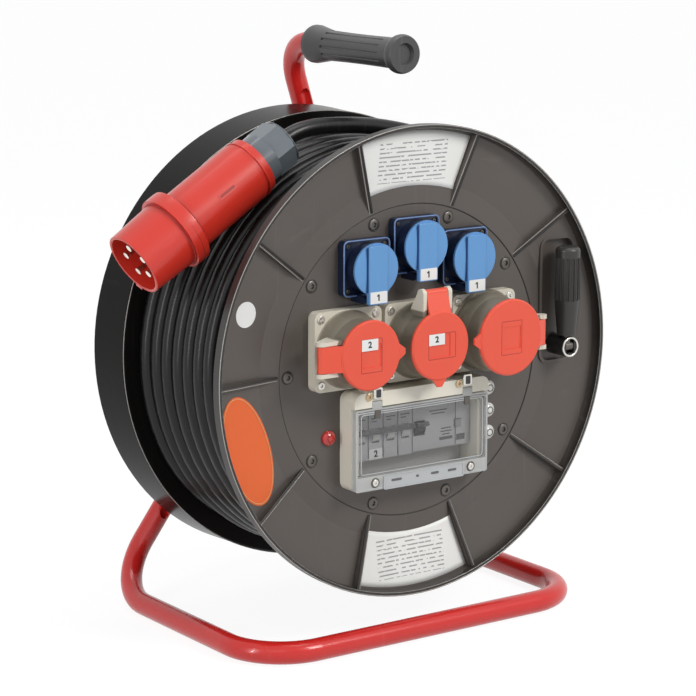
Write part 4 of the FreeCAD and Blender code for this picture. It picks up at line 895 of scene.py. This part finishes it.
def add_oval(name, centre, half_width, half_height, turn, rings):
    """A flat oval sheet with rings of faces, in front of the front flange."""
    piece = add_disc(name, 1.0, 0.002, Vector((0, 0, 0)), 56)
    start_edit(piece)
    pick(piece, "faces", lambda face: not faces_front(face))
    bpy.ops.mesh.delete(type="FACE")
    bpy.ops.mesh.select_all(action="SELECT")
    for _ in range(rings):
        bpy.ops.mesh.inset(thickness=1.0 / (rings + 0.5), depth=0)
    bpy.ops.object.mode_set(mode="OBJECT")
    piece.scale = (half_width, 0.01, half_height)
    settle(piece)
    piece.data.transform(Matrix.Translation(centre) @ Matrix.Rotation(-turn, 4, "Y"))
    return piece


def add_number(name, text, height, centre):
    """A printed number that faces the front."""
    deselect_all()
    bpy.ops.object.text_add(rotation=(math.radians(90), 0, 0))
    piece = bpy.context.object
    piece.name = name
    piece.data.body = text
    piece.data.size = height
    piece.data.align_x = "CENTER"
    piece.data.align_y = "CENTER"
    piece.data.offset = height * 0.035
    piece.data.extrude = 0.00006
    bpy.ops.object.convert(target="MESH")
    piece = bpy.context.object
    piece.location = centre
    return settle(piece)


def add_one(name, height, centre):
    """The printed number 1, with its flag, facing the front."""
    stroke = height * 0.17
    stem = add_block(name, (stroke, 0.00012, height * 0.72), centre)
    flag = add_block(name + "_flag", (stroke * 0.8, 0.00012, height * 0.30), centre)
    flag.data.transform(Matrix.Translation(centre + Vector((-stroke * 0.75, 0, height * 0.24)))
                        @ Matrix.Rotation(math.radians(50), 4, "Y") @ Matrix.Translation(-centre))
    select_only(stem)
    flag.select_set(True)
    bpy.ops.object.join()
    return bpy.context.object


def add_print(stem, side, size, place, corner, number, body):
    """A white label with its number, which rides on a body."""
    label = add_plate(stem + "_label_" + side, size, place, corner, 1)
    finish_piece(label, body, "paper")
    add, *words = number
    figure = add(stem + "_number_" + side, *words, place - Vector((0, 0.0002, 0)))
    finish_piece(figure, body, "ink")


# Stickers and labels

class REEL_OT_stickers(bpy.types.Operator):
    """Presses the plain labels and stickers onto the front flange"""
    bl_idname = "reel.stickers"
    bl_label = "Stickers"

    def execute(self, context):
        rise = context.scene.reel_trim.label_rise
        tilt = math.radians(18)
        for side, angle in label_angles:
            label = add_sector("rating_label_" + side, math.radians(angle), math.radians(34.4),
                               0.1700, 0.2235)
            self.press(label, rise, rise, "label_" + side, "toggle_white")
        place = reel_point(-0.1890, -0.002, -0.0640)
        oval = add_oval("oval_sticker", place, 0.0262, 0.0555, tilt, 10)
        self.press(oval, rise, rise, "orange", "coral")
        line = [place + Matrix.Rotation(-tilt, 3, "Y") @ Vector(
            (0.0244 * math.cos(math.tau * i / 72), 0, 0.0537 * math.sin(math.tau * i / 72)))
            for i in range(72)]
        edge = add_tube("oval_sticker_line", line, 0.0004, True, 6)
        self.press(edge, rise * 2.2, rise, "orange_line", "coral")
        place = reel_point(-0.1905, -0.002, 0.0655)
        seal = add_oval("round_sticker", place, 0.0118, 0.0122, 0.0, 5)
        self.press(seal, rise, rise, "paper", "toggle_white")
        return {"FINISHED"}

    def press(self, piece, rise, thickness, finish, slot):
        """Presses a sheet onto the front flange and finishes it."""
        drape_on(piece, "front_flange", rise, thickness)
        finish_piece(piece, "drum", finish)


# Rims and ribs

class REEL_OT_edges(bpy.types.Operator):
    """Runs thin rings of painted highlight round the flanges' rims, a ring of painted shade round
    the panel's edge, and lines of both along the fins
    """
    bl_idname = "reel.edges"
    bl_label = "Flange Edges"

    def execute(self, context):
        rear_low, rear_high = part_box("rear_flange")
        # Painted highlight: light rings along the front rim's two edges and the rear rim's front
        # edge
        for name, radius, tube, y, finish in (
                ("front_rim_bead_outer", flange_radius - 0.0007, 0.0005, front_y, "rim_bright"),
                ("front_rim_bead_inner", flange_radius - 0.0034, 0.0004, front_y + 0.0004,
                 "rim_bright"),
                ("rear_rim_bead", rear_high.x - 0.0021, 0.0005, rear_low.y, "rim_bright"),
                # Painted shade: a near-black ring in the gap round the panel's edge
                ("panel_edge_line", panel_radius + 0.0003, 0.0007, panel_face, "groove_black")):
            bead = add_torus(name, radius, tube, Vector((0, y, axis_height)), 160, 8)
            finish_piece(bead, "drum", finish)
        outer, inner = flange_radius - 0.0038, panel_radius + 0.0022
        base = turn_about_drum(math.tau / fin_count)
        # Along each fin, a light line of painted highlight and, beside it, a wider near-black line
        # of painted shadow
        for edge, tube, finish in ((0.0014, 0.00035, "rim_bright"),
                                   (-0.0014, 0.0012, "groove_black")):
            line = [reel_point(outer, 0.0043, edge), reel_point(inner, 0.0168, edge)]
            first = add_tube("fin_%s_1" % finish, line, tube)
            first.data.transform(base)
            finish_piece(first, "drum", finish)
            for i in range(2, fin_count):
                turn = turn_about_drum(math.tau * i / fin_count) @ base.inverted()
                bead = copy_of(first, "fin_%s_%d" % (finish, i), turn)
                finish_piece(bead, "drum", finish)
        return {"FINISHED"}


# Household sockets

class REEL_OT_mains_trim(bpy.types.Operator):
    """Gives each household socket a painted highlight along its border, and its screws, lid strip
    and number
    """
    bl_idname = "reel.mains_trim"
    bl_label = "Household Socket Trim"

    def execute(self, context):
        for side in sides:
            low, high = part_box("mains_base_" + side)
            half = (high.x - low.x) / 2
            middle = Vector((middle_of("mains_lid_" + side).x, panel_face - 0.0091, high.z - half))
            width, offset = half * 2 - 0.0016, half - 0.0058
            # A bright blue line of painted highlight along the raised border of the dark navy base
            border = add_tube("mains_border_" + side, rounded_outline(middle, width, width, 0.0045),
                              0.0008, True)
            finish_piece(border, "drum", "border_highlight_blue")
            for k, (a, b) in enumerate(((-1, -1), (1, -1), (-1, 1), (1, 1))):
                place = middle + Vector((a * offset, 0.0012, b * offset))
                screw = add_screw("mains_screw_%s_%d" % (side, k), 0.0019, 0.0014, place, 0.0008)
                finish_piece(screw, "drum", "screw_dark")
            self.dress_lid(side, context.scene.reel_trim.number_size * 1.25)
        return {"FINISHED"}

    def dress_lid(self, side, number_height):
        """The raised strip down a lid, dark lines of painted shade for the grooves beside it, and
        the numbered label on its tab.
        """
        body = "mains_lid_" + side
        low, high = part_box(body)
        x = middle_of(body).x
        width = 0.0216
        height = high.z - 0.0022 - low.z
        strip = add_plate("mains_strip_" + side, (width, 0.0048, height),
                          Vector((x, low.y + 0.0021, low.z + height / 2)), 0.0012, 2)
        finish_piece(soften(strip, 0.0005), body, "blue")
        length = height - 0.013
        # Painted shade: a dark blue line in each groove beside the strip
        for k, a in enumerate((-1, 1)):
            place = Vector((x + a * (width / 2 + 0.0006), low.y + 0.0019,
                            low.z + 0.0116 + length / 2))
            groove = add_plate("mains_groove_%s_%d" % (side, k), (0.0011, 0.0010, length), place,
                               0.0003, 1)
            finish_piece(groove, body, "groove_blue")
        place = Vector((x, low.y - 0.0004, low.z + 0.0068))
        add_print("mains", side, (0.0192, 0.0003, 0.0112), place, 0.0004, (add_one, number_height),
                  body)


# Industrial sockets

class REEL_OT_cee_trim(bpy.types.Operator):
    """Gives each industrial lid its sunk window's line, and the left and middle lids their numbers
    """
    bl_idname = "reel.cee_trim"
    bl_label = "Industrial Socket Trim"

    def execute(self, context):
        number_height = context.scene.reel_trim.number_size * 1.2
        for side, shift, width, height, numbered in (("left", 0.0, 0.0236, 0.0318, True),
                                                     ("middle", 0.0012, 0.0318, 0.0244, True),
                                                     ("right", 0.0, 0.0246, 0.0326, False)):
            body = "cee_lid_" + side
            centre = middle_of("cee_carrier_" + side)
            face = Vector((centre.x + shift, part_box(body)[0].y - 0.00015, centre.z))
            outline = rounded_outline(face + Vector((0, 0.0003, 0)), width, height, 0.0008, 2)
            line = add_tube("cee_window_line_" + side, outline, 0.00035, True, 6)
            finish_piece(line, body, "red_dark")
            if numbered:
                place = face + Vector((-(width - 0.0190) / 2, -0.00005, (height - 0.0108) / 2))
                add_print("cee", side, (0.0186, 0.0003, 0.0108), place, 0.0003,
                          (add_number, "2", number_height), body)
        return {"FINISHED"}


# Breaker box

class REEL_OT_box_trim(bpy.types.Operator):
    """Gives the breaker box its screws, clips, label holder and window border"""
    bl_idname = "reel.box_trim"
    bl_label = "Breaker Box Trim"

    def execute(self, context):
        box_low, box_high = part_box("box_housing")
        low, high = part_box("box_window")
        middle = middle_of("box_window")
        bar_z = (box_high.z + high.z) / 2 + 0.0005
        for k, (x, clip_x) in enumerate(((-0.0640, -0.0540), (0.0430, 0.0530))):
            screw = add_screw("box_screw_%d" % k, 0.0038, 0.0016,
                              Vector((middle.x + x, box_low.y - 0.0003, bar_z)), 0.0015)
            finish_piece(screw, "drum", "brass")
            x = middle.x + clip_x
            clip = add_plate("box_clip_%d" % k, (0.0104, 0.0030, 0.0112),
                             Vector((x, box_low.y - 0.0006, high.z + 0.0078)), 0.0016, 3)
            finish_piece(soften(clip, 0.0006), "drum", "screw_bright")
            slot = add_plate("box_clip_slot_%d" % k, (0.0052, 0.0012, 0.0078),
                             Vector((x, box_low.y - 0.0020, high.z + 0.0074)), 0.0008, 2)
            finish_piece(slot, "drum", "gloss_black")
            tongue = add_plate("box_clip_tongue_%d" % k, (0.0066, 0.0012, 0.0080),
                               Vector((x, low.y - 0.0003, high.z - 0.0130)), 0.0010, 2)
            finish_piece(tongue, "box_window", "screw_dark")
        width, height = high.x - low.x, high.z - low.z
        for name, place, size, corner, bead in (
                ("window_border", (middle.x, low.y + 0.0004, middle.z - 0.0046),
                 (width - 0.0026, height - 0.0120), 0.0040, 0.0007),
                ("window_step", (middle.x, low.y + 0.0002, low.z + 0.0165 + (height - 0.0290) / 2),
                 (width - 0.0125, height - 0.0290), 0.0030, 0.0006)):
            rim = add_tube(name, rounded_outline(Vector(place), *size, corner), bead, True)
            finish_piece(rim, "box_window", "clear")
        for k, x in enumerate((-0.0565, 0.0585)):
            place = Vector((middle.x + x, low.y - 0.0002, low.z + 0.0072))
            ring = add_torus("window_screw_ring_%d" % k, 0.0042, 0.0007, place, 28, 8)
            finish_piece(ring, "box_window", "screw_dark")
            head = add_screw("window_screw_%d" % k, 0.0034, 0.0014, place, 0.0012)
            finish_piece(head, "box_window", "screw_bright")
        self.hold_label(Vector((middle.x + 0.0010, low.y - 0.0004, low.z + 0.0062)))
        return {"FINISHED"}

    def hold_label(self, place):
        """The label holder, sunk inside a raised border, and the dark slots in it."""
        holder = add_plate("label_holder", (0.0960, 0.0024, 0.0140), place, 0.0016)
        start_edit(holder)
        pick(holder, "faces", faces_front)
        bpy.ops.mesh.inset(thickness=0.0011, depth=0)
        bpy.ops.mesh.extrude_region_move(TRANSFORM_OT_translate={"value": (0, 0.0006, 0)})
        finish_piece(end_edit(holder), "box_window", "clear")
        for k, (x, width) in enumerate(((-0.0330, 0.0120), (-0.0080, 0.0030), (0.0130, 0.0090),
                                        (0.0340, 0.0100))):
            slot = add_plate("holder_slot_%d" % k, (width, 0.0006, 0.0022),
                             place + Vector((x, -0.0008, 0.0012)), 0.0008, 2)
            finish_piece(slot, "box_window", "print_grey")


class REEL_OT_breaker_trim(bpy.types.Operator):
    """Marks the breakers' modules with painted shade along their seams, and gives them their label
    strip and their plain prints
    """
    bl_idname = "reel.breaker_trim"
    bl_label = "Breaker Trim"

    def execute(self, context):
        low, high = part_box("mcb_block")
        front = low.y - 0.0002
        pitch = (high.x - low.x) / 4
        nose_z = middle_of("mcb_toggles").z
        # Painted shade: thin dark grey lines along the seams between the modules
        for k in (1, 2, 3, 4, 7):
            self.print_mark("module_seam_%d" % k, (0.0006, 0.0006, 0.0445),
                            (low.x + k * pitch, front, nose_z), 0.0002)
        for k in range(4):
            x = low.x + (k + 0.5) * pitch
            place = Vector((x, front - 0.0001, nose_z - 0.0185))
            size = (pitch * 0.90, 0.0004, 0.0105)
            label = add_plate("module_label_%d" % k, size, place, 0.0004, 1)
            finish_piece(label, "drum", "paper" if k == 1 else "device")
            if k == 1:
                number = add_number("module_number", "2", context.scene.reel_trim.number_size * 1.3,
                                    place - Vector((0, 0.0003, 0)))
                finish_piece(number, "drum", "ink")
            for j, (shift, z, width) in enumerate(((0.0, 0.0165, 0.011), (-0.002, 0.0135, 0.006))):
                self.print_mark("module_mark_%d_%d" % (k, j), (width, 0.0003, 0.0009),
                                (x + shift, front, nose_z + z), 0.0002)
        for j, (x, z, width, height) in enumerate((
                (-0.004, 0.0150, 0.022, 0.0010), (-0.004, 0.0120, 0.016, 0.0010),
                (0.006, -0.0040, 0.012, 0.0010), (0.006, -0.0070, 0.014, 0.0010),
                (0.006, -0.0100, 0.009, 0.0010), (0.006, -0.0140, 0.016, 0.0030),
                (0.024, -0.0150, 0.010, 0.0060))):
            self.print_mark("rcd_mark_%d" % j, (width, 0.0003, height),
                            (middle_of("rcd_block").x + x, front, nose_z + z), 0.0003)
        return {"FINISHED"}

    def print_mark(self, name, size, place, corner):
        """One thin dark grey plate on the breakers: a printed mark, and along the module seams a
        line of painted shade.
        """
        mark = add_plate(name, size, Vector(place), corner, 1)
        finish_piece(mark, "drum", "print_grey")


# Lamps, crank and plug

class REEL_OT_lamp_rings(bpy.types.Operator):
    """Puts the rings round the lamps"""
    bl_idname = "reel.lamp_rings"
    bl_label = "Lamp Rings"

    def execute(self, context):
        for name, outer, inner in (("pilot_lamp_1", "white", "screw_dark"),
                                   ("pilot_lamp_2", "white", "screw_dark"),
                                   ("pilot_lamp_3", "white", "screw_dark"),
                                   ("fault_lamp", "lamp_red", "red_dark")):
            low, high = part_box(name)
            middle = middle_of(name)
            radius = (high.x - low.x) / 2
            for part, reach, tube, y, segments, finish, slot in (
                    ("_ring", radius - 0.0009, 0.0008, panel_face - 0.0022, 32, outer,
                     "toggle_white"),
                    ("_eye", radius * 0.46, 0.0005, low.y + 0.0004, 28, inner, "knob_black")):
                place = Vector((middle.x, y, middle.z))
                ring = add_torus(name + part, reach, tube, place, segments, 8)
                finish_piece(ring, "drum", finish)
        return {"FINISHED"}


class REEL_OT_crank_trim(bpy.types.Operator):
    """Puts the bright ring round the crank's hinge, and the fine ribs on its knob"""
    bl_idname = "reel.crank_trim"
    bl_label = "Crank Trim"

    def execute(self, context):
        hinge = joint_places["crank_fold"]
        place = Vector((hinge[0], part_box("crank_bracket")[0].y - 0.0002, hinge[2]))
        ring = add_torus("crank_ring", 0.0092, 0.0012, place)
        finish_piece(ring, "drum", "screw_bright")
        low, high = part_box("crank_knob")
        middle = middle_of("crank_knob")
        radius = (high.x - low.x) / 2
        for i in range(flute_count * 2):
            angle = math.tau * (i // 2 + (1 + i % 2) / 3) / flute_count
            foot = middle + Vector((radius * math.cos(angle), radius * math.sin(angle), 0))
            line = [Vector((foot.x, foot.y, low.z + z)) for z in (0.036, 0.078)]
            rib = add_tube("knob_rib_%d" % i, line, 0.0005, sides=6)
            finish_piece(rib, "crank_knob", "knob")
        return {"FINISHED"}


class REEL_OT_plug_trim(bpy.types.Operator):
    """Gives the plug its edges and grooves, and the raised mark on its body"""
    bl_idname = "reel.plug_trim"
    bl_label = "Plug Trim"

    def execute(self, context):
        mouth, way = plug_frame()
        turn = way.to_track_quat("Z", "Y").to_matrix().to_4x4()
        for name, along, radius, tube, finish in (
                ("plug_mouth_edge", 0.0006, 0.0304, 0.0009, "plug"),
                ("plug_collar_groove", 0.0468, 0.0343, 0.0010, "red_dark"),
                ("plug_collar_line", 0.0545, 0.0377, 0.0005, "red_dark"),
                ("plug_collar_back", 0.0640, 0.0318, 0.0006, "red_dark"),
                ("plug_body_groove", 0.1440, 0.0297, 0.0006, "red_dark"),
                ("plug_body_bead", 0.1490, 0.0296, 0.0008, "plug"),
                ("plug_nut_edge", 0.1935, 0.0222, 0.0006, "plug_dark")):
            ring = add_torus(name, radius, tube, (0, 0, 0), 72, facing_front=False)
            ring.data.transform(Matrix.Translation(mouth + way * along) @ turn)
            finish_piece(ring, "stand", finish)
        facing = (way.cross(Vector((0, 1, 0))) * 0.35 + Vector((0, -1, 0))).normalized()
        axes = Matrix((way, way.cross(facing), -facing)).transposed().to_4x4()
        for name, size, rise, finish in (
                ("plug_mark_rim", (0.0210, 0.0014, 0.0056), 0.0301, "plug"),
                ("plug_mark_slot", (0.0180, 0.0016, 0.0026), 0.0302, "red_dark")):
            mark = add_plate(name, size, Vector((0, 0, 0)), 0.0008, 2)
            mark.data.transform(Matrix.Translation(mouth + way * 0.1060 + facing * rise)
                                @ axes @ Matrix.Rotation(math.radians(90), 4, "X"))
            finish_piece(mark, "stand", finish)
        return {"FINISHED"}


# Stage

class REEL_OT_stage(bpy.types.Operator):
    """Sets the floor, the camera at the photographed view, and soft lights"""
    bl_idname = "reel.stage"
    bl_label = "Stage"

    def execute(self, context):
        self.set_floor()
        self.set_world(context)
        self.set_camera(context, context.scene.reel_stage)
        self.set_lights(context, context.scene.reel_stage)
        context.scene.view_settings.view_transform = "Standard"
        return {"FINISHED"}

    def set_floor(self):
        """A floor that takes the shadow and looks nearly white."""
        deselect_all()
        bpy.ops.mesh.primitive_plane_add(size=60, location=(0, 0, -0.0004))
        floor = bpy.context.object
        floor.name = "studio_floor"
        material, tree, place = start_material("floor_pale")
        matt = feed(tree, tree.nodes["Principled BSDF"], {
            "Base Color": (0.62, 0.62, 0.62), "Roughness": 0.7, "Specular IOR Level": 0.1})
        glow = add_node(tree, "Emission", {"Strength": 1.26})
        rays = add_node(tree, "LightPath").outputs
        seen = calculate(tree, "MAXIMUM", rays["Is Camera Ray"], rays["Is Glossy Ray"])
        mix = add_node(tree, "MixShader", {"Fac": calculate(tree, "MULTIPLY", seen, 0.72),
                                           1: matt.outputs["BSDF"], 2: glow.outputs["Emission"]})
        feed(tree, tree.nodes["Material Output"], {"Surface": mix.outputs["Shader"]})
        floor.data.materials.append(material)

    def set_world(self, context):
        """A plain world: soft light on the object, white behind it."""
        world = bpy.data.worlds.new("studio_world")
        context.scene.world = world
        world.use_nodes = True
        tree = world.node_tree
        soft = feed(tree, tree.nodes["Background"], {"Color": (0.92, 0.95, 1.0), "Strength": 0.36})
        white = add_node(tree, "Background", {"Color": (1, 1, 1), "Strength": 1.0})
        rays = add_node(tree, "LightPath").outputs
        seen = rays["Is Camera Ray"]
        for ray in ("Is Transmission Ray", "Is Glossy Ray"):
            seen = calculate(tree, "MAXIMUM", seen, rays[ray])
        mix = add_node(tree, "MixShader", {"Fac": seen, 1: soft.outputs["Background"],
                                           2: white.outputs["Background"]})
        feed(tree, tree.nodes["World Output"], {"Surface": mix.outputs["Shader"]})

    def set_camera(self, context, settings):
        """The camera that fits the photograph."""
        a, e, r = settings.azimuth, settings.elevation, settings.roll
        back = Vector((math.sin(a) * math.cos(e), -math.cos(a) * math.cos(e), math.sin(e)))
        right = Vector((math.cos(a), math.sin(a), 0))
        up = back.cross(right)
        right, up = right * math.cos(r) + up * math.sin(r), up * math.cos(r) - right * math.sin(r)
        target = reel_point(-0.085865, 0.0, 0.024813)
        lens = bpy.data.cameras.new("photo_camera")
        lens.sensor_width = 36.0
        lens.sensor_fit = "HORIZONTAL"
        lens.lens = settings.lens
        camera = bpy.data.objects.new("photo_camera", lens)
        camera.matrix_world = (Matrix.Translation(target + back * settings.distance)
                               @ Matrix((right, up, back)).transposed().to_4x4())
        context.scene.collection.objects.link(camera)
        context.scene.camera = camera

    def set_lights(self, context, settings):
        """Soft lights: key from the right, narrow strip and weak fill from the left, one on top."""
        aim = reel_point(-0.05, 0.08, 0.0)
        fill = settings.fill_power
        for name, place, size, power, tone in (
                ("key_light", (1.0, -2.3, 2.1), (1.0, 1.0), settings.key_power, (1.0, 0.98, 0.95)),
                ("strip_light", (-2.1, -0.45, 0.68), (0.035, 1.3), settings.strip_power, (1, 1, 1)),
                ("fill_light", (-1.7, -1.9, 1.7), (1.2, 1.2), fill * 0.3, (0.96, 0.98, 1.0)),
                ("top_light", (0.2, 0.1, 2.4), (1.5, 0.8), fill, (1, 1, 1))):
            lamp = bpy.data.lights.new(name, "AREA")
            lamp.shape = "RECTANGLE"
            lamp.size, lamp.size_y = size
            lamp.energy = power
            lamp.color = tone
            light = bpy.data.objects.new(name, lamp)
            light.location = place
            light.rotation_euler = (aim - Vector(place)).to_track_quat("-Z", "Y").to_euler()
            context.scene.collection.objects.link(light)


class REEL_PT_dressing(bpy.types.Panel):
    """Lists the reel's settings and its pieces"""
    bl_idname = "REEL_PT_dressing"
    bl_label = "Cable Reel"
    bl_space_type = "VIEW_3D"
    bl_region_type = "UI"
    bl_category = "Cable Reel"

    def draw(self, context):
        layout = self.layout
        for settings in (context.scene.reel_colours, context.scene.reel_cable,
                         context.scene.reel_trim, context.scene.reel_stage):
            box = layout.box()
            for name in settings.__annotations__:
                box.prop(settings, name)
        for operator in piece_operators:
            layout.operator(operator.bl_idname)


setting_groups = (
    ("reel_colours", ReelColourSettings),
    ("reel_cable", ReelCableSettings),
    ("reel_trim", ReelTrimSettings),
    ("reel_stage", ReelStageSettings),
)
piece_operators = (
    REEL_OT_stage,
    REEL_OT_finishes,
    REEL_OT_free_cable,
    REEL_OT_winding,
    REEL_OT_screws,
    REEL_OT_stickers,
    REEL_OT_edges,
    REEL_OT_mains_trim,
    REEL_OT_cee_trim,
    REEL_OT_box_trim,
    REEL_OT_breaker_trim,
    REEL_OT_lamp_rings,
    REEL_OT_crank_trim,
    REEL_OT_plug_trim,
)


def register():
    for name, group in setting_groups:
        bpy.utils.register_class(group)
        setattr(bpy.types.Scene, name, PointerProperty(type=group))
    for operator in piece_operators:
        bpy.utils.register_class(operator)
    bpy.utils.register_class(REEL_PT_dressing)


def unregister():
    bpy.utils.unregister_class(REEL_PT_dressing)
    for operator in reversed(piece_operators):
        bpy.utils.unregister_class(operator)
    for name, group in reversed(setting_groups):
        delattr(bpy.types.Scene, name)
        bpy.utils.unregister_class(group)


def main():
    register()
    for operator in piece_operators:
        name = operator.bl_idname.split(".")[1]
        getattr(bpy.ops.reel, name)()
    deselect_all()


if __name__ == "__main__":
    main()
